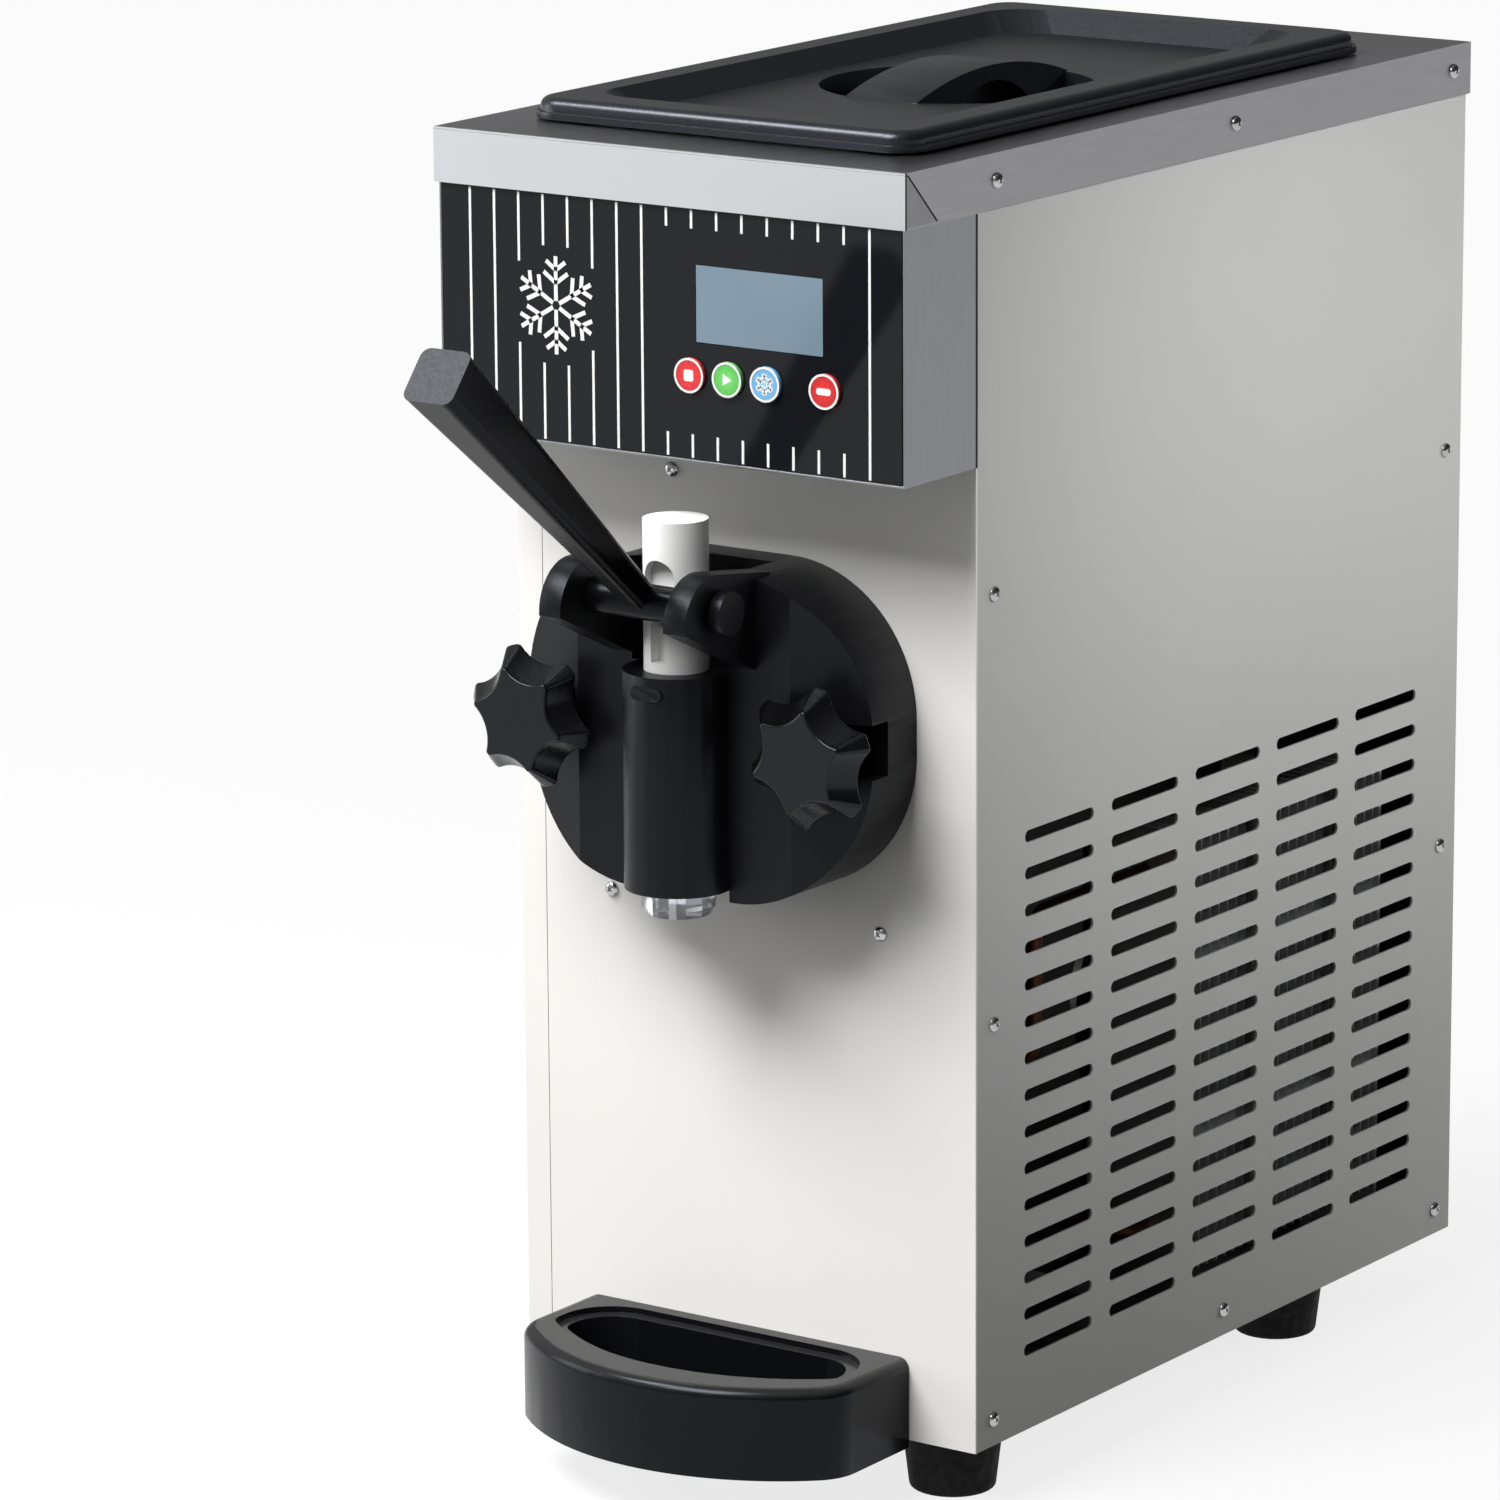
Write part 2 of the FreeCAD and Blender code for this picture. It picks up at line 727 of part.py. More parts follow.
def right_side_panel():
    body = new_body("right_sheet")
    sketch = sketch_on(body, "YZ_Plane", "right_outline", f"{HALF} - sheet_wall")
    outline(sketch, rectangle(("sheet_wall", "cabinet_depth"), ("0", PANEL_TOP)))
    pad(body, sketch, "sheet_wall", "right_pad")
    slot_rows(body, "YZ_Plane", f"{HALF} - sheet_wall", ("slot_first_depth", "slot_first_height"),
              "slot_columns", "slot_rows", "right")
    drills = side_drills("right_drill", RIGHT_SPOTS, 1) + side_drills("right_cap_drill", CAP_SPOTS, 1)
    node(less("right_side_panel", body, *drills), "right_side_panel")


def rear_panel():
    """Back sheet with vents, the inlet's cut-out and a return flange each side."""
    body = new_body("rear_sheet")
    sketch = sketch_on(body, "XZ_Plane", "rear_outline", "-cabinet_depth")
    outline(sketch, rectangle((f"-{INSIDE}", INSIDE), ("0", PANEL_TOP)))
    pad(body, sketch, "sheet_wall", "rear_pad")
    first = "(-((rear_slot_columns - 1) * slot_column_pitch + slot_length) / 2)"
    slot_rows(body, "XZ_Plane", "-cabinet_depth", (first, "rear_slot_first_height"),
              "rear_slot_columns", "rear_slot_rows", "rear")
    flanges = [block(f"rear_flange_{side}", (f"{side} * {INSIDE} - {(side + 1) // 2} * sheet_wall",
                                             f"{side} * {INSIDE} + {(1 - side) // 2} * sheet_wall"),
                     ("cabinet_depth - return_flange", "cabinet_depth - sheet_wall / 2"),
                     (PAN_TOP, PANEL_TOP))
               for side in (-1, 1)]
    window = block("rear_inlet_hole", ("-inlet_left - inlet_body_width / 2 - fit_gap",
                                       "-inlet_left + inlet_body_width / 2 + fit_gap"),
                   ("cabinet_depth - 2 * sheet_wall", "cabinet_depth + sheet_wall"),
                   ("inlet_height - inlet_body_height / 2 - fit_gap",
                    "inlet_height + inlet_body_height / 2 + fit_gap"))
    spots = REAR_SPOTS + CAP_SPOTS[-1:]
    drills = side_drills("rear_right_drill", spots, 1) + side_drills("rear_left_drill", spots, -1)
    node(less("rear_panel", fused("rear_folded", body, *flanges), window, *drills), "rear_panel")


CAP_HALF = "(cabinet_width / 2 + cap_side_gap + sheet_wall)"


def top_cap():
    """Folded steel cap with a skirt all round and the opening that the hopper hangs in."""
    outer = block("cap_outer", (f"-{CAP_HALF}", CAP_HALF), ("-cap_reach", "cabinet_depth + cap_rear_lip"),
                  (CAP_BOTTOM, "cabinet_height"))
    inner = block("cap_inner", (f"-{CAP_HALF} + sheet_wall", f"{CAP_HALF} - sheet_wall"),
                  ("-cap_reach + sheet_wall", "cabinet_depth + cap_rear_lip - sheet_wall"),
                  (f"{CAP_BOTTOM} - sheet_wall", "cabinet_height - sheet_wall"))
    mouth = hopper_block("cap_mouth", "fit_gap", (f"{CAP_BOTTOM}", "cabinet_height + sheet_wall"))
    drills = side_drills("cap_right_drill", CAP_SPOTS, 1) + side_drills("cap_left_drill", CAP_SPOTS, -1)
    node(less("top_cap", outer, inner, mouth, *drills), "top_cap")


def panel_screws():
    """The identical screws of the sides, the cap's skirt and the front."""
    right = [screw(f"right_screw_{place}", "-x", (HALF, *spot)) for place, spot in enumerate(RIGHT_SPOTS)]
    left = [screw(f"left_screw_{place}", "x", (f"-{HALF}", *spot)) for place, spot in enumerate(LEFT_SPOTS)]
    skirt = [screw(f"cap_screw_{side}_{place}", "-x" if side > 0 else "x", (f"{side} * {CAP_HALF}", *spot))
             for side in (-1, 1) for place, spot in enumerate(CAP_SPOTS)]
    face = [screw(f"face_screw_{place}", "y", (spot[0], "0", spot[1]))
            for place, spot in enumerate(FACE_SPOTS)]
    node(group("panel_screws", *right, *left, *skirt, *face), "panel_screws")


def rubber_feet():
    """Four tapered rubber feet, each with the stud that holds it to the base pan."""
    feet = []
    for place, spot in enumerate(FOOT_SPOTS):
        foot = turned(f"foot_{place}", [("0", "-foot_height"), ("foot_base_radius", "-foot_height"),
                                        ("foot_top_radius", "0"), ("foot_stud_radius", "0"),
                                        ("foot_stud_radius", "foot_stud_length"), ("0", "foot_stud_length")])
        soften(foot, f"foot_round_{place}", "foot_round", at_level("z", -number("foot_height")))
        feet.append(put(foot, (*spot, "0")))
    node(group("rubber_feet", *feet), "rubber_feet")


def control_box():
    """Folded steel box under the front of the cap, open to the fascia and to the cabinet."""
    top = f"{CAP_BOTTOM} + control_tuck"
    outer = block("control_outer", (f"-{HALF}", HALF), (f"-{CONTROL_FRONT}", "0"), (CONTROL_BOTTOM, top))
    inner = block("control_inner", (f"-{HALF} + sheet_wall", f"{HALF} - sheet_wall"),
                  (f"-{CONTROL_FRONT} - sheet_wall", "sheet_wall"),
                  (f"{CONTROL_BOTTOM} + sheet_wall", f"{top} + sheet_wall"))
    node(less("control_box", outer, inner), "control_box")


BUTTON_HEIGHT = f"{CONTROL_BOTTOM} + button_rise"
BUTTONS = {
    "stop_button": "button_first",
    "run_button": "(button_first + button_pitch)",
    "chill_button": "(button_first + 2 * button_pitch)",
    "clean_button": "button_last",
}


def display_frame(gap):
    """The corners of the display's window, smaller by a gap all round."""
    middle = f"({CONTROL_BOTTOM} + display_rise)"
    return rectangle((f"display_reach - display_width / 2 + {gap}",
                      f"display_reach + display_width / 2 - {gap}"),
                     (f"{middle} - display_height / 2 + {gap}", f"{middle} + display_height / 2 - {gap}"))


def control_fascia():
    """Gloss front plate with the display's window and a hole for each button."""
    body = new_body("control_fascia")
    sketch = sketch_on(body, "XZ_Plane", "fascia_outline", f"{CONTROL_FRONT} - fascia_wall")
    outline(sketch, rectangle((f"-{INSIDE}", INSIDE),
                              (f"{CONTROL_BOTTOM} + sheet_wall + fit_gap", f"{CAP_BOTTOM} + control_tuck")))
    outline(sketch, display_frame("0"))
    for reach in BUTTONS.values():
        round_hole(sketch, "button_radius + fit_gap", (reach, BUTTON_HEIGHT))
    pad(body, sketch, "fascia_wall", "fascia_pad")
    node(body, "control_fascia")


def display_window():
    body = new_body("display_window")
    sketch = sketch_on(body, "XZ_Plane", "window_outline", f"{CONTROL_FRONT} - fascia_wall")
    outline(sketch, display_frame("fit_gap"))
    pad(body, sketch, "fascia_wall", "window_pad")
    node(body, "display_window")


def push_button(label, reach):
    """A round push button, held behind the fascia by its lip."""
    lip = "button_radius + button_lip"
    back = "-fascia_wall - fit_gap - button_lip_wall"
    body = turned(label + "_body", [("0", back), (lip, back), (lip, "-fascia_wall - fit_gap"),
                                    ("button_radius", "-fascia_wall - fit_gap"),
                                    ("button_radius", "button_proud - button_edge"),
                                    ("button_radius - button_edge", "button_proud"), ("0", "button_proud")])
    node(moved(label, body, (reach, f"-{CONTROL_FRONT}", BUTTON_HEIGHT), TURNS["-y"]), label)


BOARD_FRONT = f"(-{CONTROL_FRONT} + fascia_wall + board_standoff)"
BOARD_MIDDLE = f"({CONTROL_BOTTOM} + (button_rise + display_rise) / 2)"


def control_board():
    """Circuit board on standoffs behind the fascia, with a switch for each button and three relays."""
    plate = block("board_plate", ("display_reach - board_width / 2", "display_reach + board_width / 2"),
                  (BOARD_FRONT, f"{BOARD_FRONT} + board_wall"),
                  (f"{BOARD_MIDDLE} - board_height / 2", f"{BOARD_MIDDLE} + board_height / 2"))
    pieces = [plate]
    for across in (-1, 1):
        for up in (-1, 1):
            spot = (f"display_reach + {across} * (board_width / 2 - board_edge)", BOARD_FRONT,
                    f"{BOARD_MIDDLE} + {up} * (board_height / 2 - board_edge)")
            pieces.append(rod(f"board_standoff_{across}_{up}", "-y", "board_standoff_radius",
                              "board_standoff", spot))
    reach = "board_standoff - 2 * fit_gap - button_lip_wall - button_travel"
    for label, place in BUTTONS.items():
        pieces.append(block(label + "_switch", (f"{place} - switch_side / 2", f"{place} + switch_side / 2"),
                            (f"{BOARD_FRONT} - ({reach})", BOARD_FRONT),
                            (f"{BUTTON_HEIGHT} - switch_side / 2", f"{BUTTON_HEIGHT} + switch_side / 2")))
    for place in (-1, 0, 1):
        middle = f"(display_reach + {place} * (relay_width + board_edge))"
        pieces.append(block(f"relay_{place}", (f"{middle} - relay_width / 2", f"{middle} + relay_width / 2"),
                            (f"{BOARD_FRONT} + board_wall", f"{BOARD_FRONT} + board_wall + relay_depth"),
                            (f"{BOARD_MIDDLE} - relay_height / 2", f"{BOARD_MIDDLE} + relay_height / 2")))
    node(fused("control_board", *pieces), "control_board")


def display_module():
    middle = f"({CONTROL_BOTTOM} + display_rise)"
    half_wide = "(display_width / 2 + display_module_margin)"
    half_high = "(display_height / 2 + display_module_margin)"
    module = block("module_block", (f"display_reach - {half_wide}", f"display_reach + {half_wide}"),
                   (f"-{CONTROL_FRONT} + fascia_wall + fit_gap", BOARD_FRONT),
                   (f"{middle} - {half_high}", f"{middle} + {half_high}"))
    node(group("display_module", module), "display_module")


def hopper_block(name, grow, height):
    """A round-cornered block on the hopper's plan, larger all round by a named size and its sign."""
    word = grow.lstrip("-")
    change = number(word) * (-1 if grow.startswith("-") else 1) if word in SIZES else 0.0
    base = block(name + "_plan", (f"-hopper_width / 2 - ({grow})", f"hopper_width / 2 + ({grow})"),
                 (f"hopper_front - ({grow})", f"hopper_front + hopper_length + ({grow})"), height)
    return rounded(name, base, number("hopper_corner") + change, runs_along("z"))


NECK_BOTTOM = "(barrel_rise + barrel_bore + barrel_wall + fit_gap)"


def hopper_tub():
    """Stainless tub that hangs in the cap by its flange and drains through a hole in its floor."""
    flange_top = "cabinet_height + hopper_flange_wall"
    tub = hopper_block("tub_outer", "0", (HOPPER_FLOOR, flange_top))
    flange = hopper_block("tub_flange", "hopper_flange", ("cabinet_height", flange_top))
    inner = hopper_block("tub_inner", "-hopper_wall",
                         (f"{HOPPER_FLOOR} + hopper_wall", f"{flange_top} + hopper_wall"))
    drain = rod("tub_drain", "z", "neck_radius - neck_wall", "3 * hopper_wall",
                (0, "neck_depth", f"{HOPPER_FLOOR} - hopper_wall"))
    node(less("hopper_tub", fused("tub_shell", tub, flange), inner, drain), "hopper_tub")


def hopper_neck():
    """Tube welded under the tub's drain hole, which seats in the cylinder's inlet."""
    node(ring("hopper_neck", "z", "neck_radius", "neck_radius - neck_wall", f"{HOPPER_FLOOR} - {NECK_BOTTOM}",
              (0, "neck_depth", NECK_BOTTOM)), "hopper_neck")


def feed_tube():
    """Loose tube that meters mix and air from the hopper into the cylinder."""
    outer = "neck_radius - neck_wall - fit_gap"
    node(ring("feed_tube", "z", outer, f"{outer} - feed_tube_wall", "feed_tube_length",
              (0, "neck_depth", NECK_BOTTOM)), "feed_tube")


LID_MIDDLE = "(lid_length / 2 - lid_front)"
RECESS_FLOOR = f"({LID_TOP} - recess_depth)"
DIMPLE_FLOOR = f"({LID_TOP} - recess_depth - dimple_depth)"


def lid_slab(name, inset, height):
    return block(name, (f"-lid_width / 2 + {inset}", f"lid_width / 2 - {inset}"),
                 (f"-lid_front + {inset}", f"-lid_front + lid_length - {inset}"), height)


def lid_recess():
    """The sunken middle of the lid: a tapering pocket with large corners."""
    wedge = doc.addObject("Part::Wedge", "recess_taper")
    wide, long = "(lid_width / 2 - lid_rim_side)", "(lid_length / 2 - lid_rim_end)"
    for low, high, rule in (("X2min", "X2max", wide), ("Z2min", "Z2max", long),
                            ("Xmin", "Xmax", f"({wide} - recess_slope)"),
                            ("Zmin", "Zmax", f"({long} - recess_slope)")):
        bind(wedge, low, f"-{rule}")
        bind(wedge, high, rule)
    bind(wedge, "Ymin", "0")
    bind(wedge, "Ymax", "recess_depth")
    put(wedge, (0, LID_MIDDLE, RECESS_FLOOR), TURNS["-y"])
    doc.recompute()
    corner = number("recess_depth") / 2
    return rounded("lid_recess", wedge, number("recess_corner"), lambda edge: edge.BoundBox.ZLength > corner)


def lid_handle():
    """An arched bar across the dimple, with room for fingers under it."""
    half = "handle_width / 2"
    bar = block("handle_bar", (f"-{half}", half),
                (f"{LID_MIDDLE} - dimple_radius", f"{LID_MIDDLE} + dimple_radius"),
                (f"{DIMPLE_FLOOR} - lid_wall / 2", f"{RECESS_FLOOR} + handle_crown + lid_wall"))
    crown = "((dimple_radius^2 + handle_crown^2) / (2 * handle_crown))"
    arch = rod("handle_arch", "x", crown, "handle_width",
               (f"-{half}", LID_MIDDLE, f"{RECESS_FLOOR} + handle_crown - {crown}"))
    cup = rod("handle_cup", "z", "dimple_radius + lid_wall / 2", "dimple_depth + lid_wall + 2 * handle_crown",
              (0, LID_MIDDLE, f"{DIMPLE_FLOOR} - lid_wall"))
    rise = "(dimple_depth + handle_crown - handle_wall)"
    under = f"(((handle_opening / 2)^2 + {rise}^2) / (2 * {rise}))"
    gap = overlap("handle_gap", rod("handle_gap_round", "x", under, "2 * handle_width",
                                    ("-handle_width", LID_MIDDLE, f"{DIMPLE_FLOOR} + {rise} - {under}")),
                  block("handle_gap_block", ("-handle_width", "handle_width"),
                        (f"{LID_MIDDLE} - handle_opening", f"{LID_MIDDLE} + handle_opening"),
                        (DIMPLE_FLOOR, f"{RECESS_FLOOR} + handle_crown")))
    return less("lid_handle", overlap("handle_trim", overlap("handle_top", bar, arch), cup), gap)


def hopper_lid():
    """Moulded lid: a stepped rim, a sunken middle and an arched handle over a round dimple."""
    lip = rounded("lid_lip_round", lid_slab("lid_lip_slab", "0",
                                            (LID_BOTTOM, f"{LID_BOTTOM} + lid_lip_height")),
                  number("lid_corner"), runs_along("z"))
    upper = rounded("lid_corners", lid_slab("lid_slab", "lid_lip", (LID_BOTTOM, LID_TOP)),
                    number("lid_corner") - number("lid_lip"), runs_along("z"))
    doc.recompute()
    upper = rounded("lid_edge", upper, number("lid_round"), at_level("z", upper.Shape.BoundBox.ZMax))
    margin = "(lid_rim_side + recess_slope - lid_wall)"
    end = "(lid_rim_end + recess_slope - lid_wall)"
    plug = rounded("lid_plug", block("lid_plug_block",
                                     (f"-lid_width / 2 + {margin}", f"lid_width / 2 - {margin}"),
                                     (f"-lid_front + {end}", f"-lid_front + lid_length - {end}"),
                                     (f"{RECESS_FLOOR} - lid_wall", f"{LID_BOTTOM} + lid_wall")),
                   number("hopper_corner") - number("lid_wall"), runs_along("z"))
    cup = rod("lid_cup", "z", "dimple_radius + lid_wall", "dimple_depth + lid_wall",
              (0, LID_MIDDLE, f"{DIMPLE_FLOOR} - lid_wall"))
    dimple = rod("lid_dimple", "z", "dimple_radius", "dimple_depth + recess_depth",
                 (0, LID_MIDDLE, DIMPLE_FLOOR))
    shell = less("lid_shell", fused("lid_solid", lip, upper, plug, cup), lid_recess(), dimple)
    node(fused("hopper_lid", shell, lid_handle()), "hopper_lid")


BARREL_OUTER = "(barrel_bore + barrel_wall)"
JACKET_INNER = "(barrel_bore + barrel_wall + fit_gap)"
JACKET_OUTER = "(barrel_bore + barrel_wall + fit_gap + jacket_wall)"


def freezing_cylinder():
    """Stainless freezing cylinder with its mounting plate, mix inlet and rear seal boss."""
    tube = rod("barrel_tube", "y", BARREL_OUTER, "barrel_length", (0, 0, "barrel_rise"))
    plate = block("barrel_plate", ("-barrel_plate_width / 2", "barrel_plate_width / 2"),
                  ("sheet_wall", "sheet_wall + barrel_plate_wall"),
                  ("barrel_rise - barrel_plate_height / 2", "barrel_rise + barrel_plate_height / 2"))
    boss = rod("barrel_boss", "y", "barrel_boss_radius", "barrel_boss_length",
               (0, "barrel_length", "barrel_rise"))
    inlet = rod("barrel_inlet", "z", "neck_radius + fit_gap + inlet_wall", "inlet_rise",
                (0, "neck_depth", "barrel_rise"))
    bore = rod("barrel_hollow", "y", "barrel_bore", "barrel_length - barrel_back + fit_gap",
               (0, "-fit_gap", "barrel_rise"))
    seat = rod("barrel_neck_seat", "z", "neck_radius + fit_gap", "inlet_rise",
               (0, "neck_depth", f"barrel_rise + {BARREL_OUTER}"))
    hole = rod("barrel_mix_hole", "z", "neck_radius - neck_wall - fit_gap - feed_tube_wall", "inlet_rise",
               (0, "neck_depth", "barrel_rise"))
    shaft = rod("barrel_shaft_hole", "y", "beater_shaft_radius + run_gap", "barrel_back + barrel_boss_length",
                (0, "barrel_length - barrel_back", "barrel_rise"))
    pocket_hole = rod("barrel_seal_pocket", "y", "beater_shaft_radius + seal_wall + fit_gap",
                      "barrel_boss_length",
                      (0, "barrel_length", "barrel_rise"))
    studs = [rod(f"barrel_stud_hole_{side}", "y", "stud_radius + fit_gap", "barrel_plate_wall",
                 (f"{side} * stud_reach", "sheet_wall", "stud_rise")) for side in (-1, 1)]
    node(less("freezing_cylinder", fused("barrel_body", tube, plate, boss, inlet), bore, seat, hole, shaft,
              pocket_hole, *studs), "freezing_cylinder")


def cylinder_layers():
    """Evaporator jacket on the cylinder, foam round the jacket and the shaft seal behind."""
    start = (0, "jacket_start", "barrel_rise")
    node(ring("evaporator_jacket", "y", JACKET_OUTER, JACKET_INNER, "jacket_length", start),
         "evaporator_jacket")
    node(ring("insulation_sleeve", "y", f"{JACKET_OUTER} + fit_gap + foam_wall", f"{JACKET_OUTER} + fit_gap",
              "jacket_length", start), "insulation_sleeve")
    node(ring("shaft_seal", "y", "beater_shaft_radius + seal_wall", "beater_shaft_radius + fit_gap",
              "barrel_boss_length - fit_gap", (0, "barrel_length", "barrel_rise")), "shaft_seal")


BEATER_FRONT = "(spigot_length + 4 * run_gap)"
BEATER_BACK = "(barrel_length - barrel_back - 2 * run_gap - beater_ring_wall)"
BEATER_REACH = "(beater_bar_circle + beater_bar_radius)"


def beater():
    """Open beater: bars between a front ring and a rear disc on the drive shaft."""
    rim = f"{BEATER_REACH} + run_gap"
    front = ring("beater_ring", "y", rim, "beater_bar_circle - beater_bar_radius - run_gap",
                 "beater_ring_wall",
                 (0, BEATER_FRONT, "barrel_rise"))
    disc = rod("beater_disc", "y", rim, "beater_ring_wall", (0, BEATER_BACK, "barrel_rise"))
    shaft = rod("beater_shaft", "y", "beater_shaft_radius", f"{PLATE_BACK} + gear_start - {BEATER_BACK}",
                (0, BEATER_BACK, "barrel_rise"))
    bars = [rod(f"beater_bar_{place}", "y", "beater_bar_radius",
                f"{BEATER_BACK} - {BEATER_FRONT} + beater_ring_wall",
                (f"beater_bar_circle * cos({place} * 360 / beater_bars)", BEATER_FRONT,
                 f"barrel_rise + beater_bar_circle * sin({place} * 360 / beater_bars)"))
            for place in range(int(number("beater_bars")))]
    node(fused("beater", front, disc, shaft, *bars), "beater")
    blades = [block(f"scraper_{side}", sorted_rules(side, BEATER_REACH, "(barrel_bore - run_gap)"),
                    (f"{BEATER_FRONT} + beater_ring_wall", BEATER_BACK),
                    ("barrel_rise - scraper_wall / 2", "barrel_rise + scraper_wall / 2")) for side in (-1, 1)]
    node(group("scraper_blades", *blades), "scraper_blades")


def sorted_rules(side, near, far):
    """Two distances from the middle as low and high rules on one side of it."""
    return (near, far) if side > 0 else (f"-{far}", f"-{near}")


HEAD_TOP = "(barrel_rise + head_rise)"
HEAD_BOTTOM = f"({HEAD_TOP} - head_height)"
PLUNGER_BORE = "(plunger_radius + plunger_gap)"
SEAL_MIDDLE = "(barrel_bore - head_seal_radius - fit_gap / 2)"
SEAL_PLACE = "(spigot_length / 2)"


def head_facet(side):
    """The part in front of one sloping outer face of the head."""
    item = doc.addObject("Part::Box", f"head_facet_{side}")
    bind(item, "Length", "head_width")
    bind(item, "Width", "head_depth")
    bind(item, "Height", "2 * head_height")
    slope = "atan((head_depth - head_rim_depth) / ((head_width - head_flat) / 2))"
    item.Placement = Placement(Vector(), Rotation(Vector(0, 0, 1), 1.0))
    bind(item, "Placement.Rotation.Angle", f"{slope}" if side > 0 else f"180 deg - {slope}")
    corner = (f"head_flat / 2 + head_depth * sin({slope})", f"-head_depth - head_depth * cos({slope})")
    if side < 0:
        corner = ("-head_flat / 2", "-head_depth")
    for letter, rule in zip("xyz", (*corner, "barrel_rise - head_height")):
        bind(item, f"Placement.Base.{letter}", rule)
    return item


def head_ear(side):
    """One of the two ears that carry the lever's pin."""
    body = new_body(f"ear_{side}")
    sketch = sketch_on(body, "YZ_Plane", f"ear_outline_{side}",
                       "ear_inner" if side > 0 else "-ear_inner - ear_wall")
    outline(sketch, [("-ear_reach", "ear_tip"), ("-head_rim_depth", "ear_foot"),
                     ("-head_rim_depth", HEAD_TOP), ("-ear_reach", "ear_top")])
    pad(body, sketch, "ear_wall", f"ear_pad_{side}")
    crown = number("ear_top")
    reach = -number("ear_reach")

    def front_corner(edge):
        box = edge.BoundBox
        return runs_along("x")(edge) and abs(box.ZMax - crown) < 0.01 and abs(box.YMin - reach) < 0.01
    soften(body, f"ear_round_{side}", "ear_round", front_corner)
    return body


def dispensing_head():
    """Moulded head that closes the cylinder and carries the valve, the ears and the stud pockets."""
    plate = rounded("head_plate", block("head_block", ("-head_width / 2", "head_width / 2"),
                                        ("-head_depth", "0"),
                                        (HEAD_BOTTOM, HEAD_TOP)), number("head_corner"), runs_along("y"))
    recess = block("head_recess", ("-ear_inner", "ear_inner"), ("-head_depth - fit_gap", "-recess_back"),
                   ("column_top", f"{HEAD_TOP} + fit_gap"))
    notch = block("head_notch", ("-column_radius", "column_radius"),
                  ("-head_depth - fit_gap", "-head_depth + head_notch_length"),
                  (f"{HEAD_BOTTOM} - fit_gap", "column_bottom"))
    carved = less("head_carved", plate, head_facet(1), head_facet(-1), recess, notch)
    column = rod("head_column", "z", "column_radius", "column_top - column_bottom",
                 (0, "-valve_reach", "column_bottom"))
    spigot = rod("head_spigot", "y", "barrel_bore - 2 * fit_gap", "spigot_length + head_rim_depth / 2",
                 (0, "-head_rim_depth / 2", "barrel_rise"))
    groove = ring("head_groove", "y", "barrel_bore + fit_gap",
                  f"{SEAL_MIDDLE} - head_seal_radius - fit_gap / 2",
                  "2 * head_seal_radius + fit_gap",
                  (0, f"{SEAL_PLACE} - head_seal_radius - fit_gap / 2", "barrel_rise"))
    valve = rod("head_valve_bore", "z", PLUNGER_BORE, "head_height",
                (0, "-valve_reach", "column_bottom - fit_gap"))
    port = block("head_port", ("-port_width / 2", "port_width / 2"),
                 ("-valve_reach", "spigot_length + fit_gap"),
                 ("plunger_bottom + port_rise", "plunger_bottom + port_rise + port_height"))
    cuts = [groove, valve, port,
            rod("head_pin_hole", "x", "pin_radius + fit_gap", "head_width",
                ("-head_width / 2", "-pivot_reach", "pivot_rise"))]
    for side in (-1, 1):
        cuts.append(block(f"stud_pocket_{side}", sorted_rules(side, "stud_pocket_inner", "head_width"),
                          ("-head_depth - fit_gap", "-stud_pocket_back"),
                          ("stud_rise - stud_pocket_height / 2", "stud_rise + stud_pocket_height / 2")))
        cuts.append(rod(f"stud_hole_{side}", "y", "stud_radius + fit_gap", "stud_pocket_back + 2 * fit_gap",
                        (f"{side} * stud_reach", "-stud_pocket_back - fit_gap", "stud_rise")))
    body = fused("head_body", carved, column, spigot, head_ear(1), head_ear(-1))
    node(less("dispensing_head", body, *cuts), "dispensing_head")


def torus(name, axis, middle, thick, at):
    item = doc.addObject("Part::Torus", name)
    bind(item, "Radius1", middle)
    bind(item, "Radius2", thick)
    return put(item, at, TURNS[axis])


def head_seal():
    node(group("head_seal", torus("head_seal_ring", "y", SEAL_MIDDLE, "head_seal_radius",
                                  (0, SEAL_PLACE, "barrel_rise"))), "head_seal")


def knob_studs():
    """Two studs headed behind the cylinder's plate, which the star knobs run on."""
    studs = []
    for side in (-1, 1):
        spot = (f"{side} * stud_reach", "sheet_wall + barrel_plate_wall", "stud_rise")
        shank = rod(f"stud_shank_{side}", "-y", "stud_radius", "stud_end + sheet_wall + barrel_plate_wall",
                    spot)
        head = rod(f"stud_head_{side}", "y", "stud_head_radius", "stud_head_wall", spot)
        studs.append(fused(f"stud_{side}", shank, head))
    node(group("knob_studs", *studs), "knob_studs")


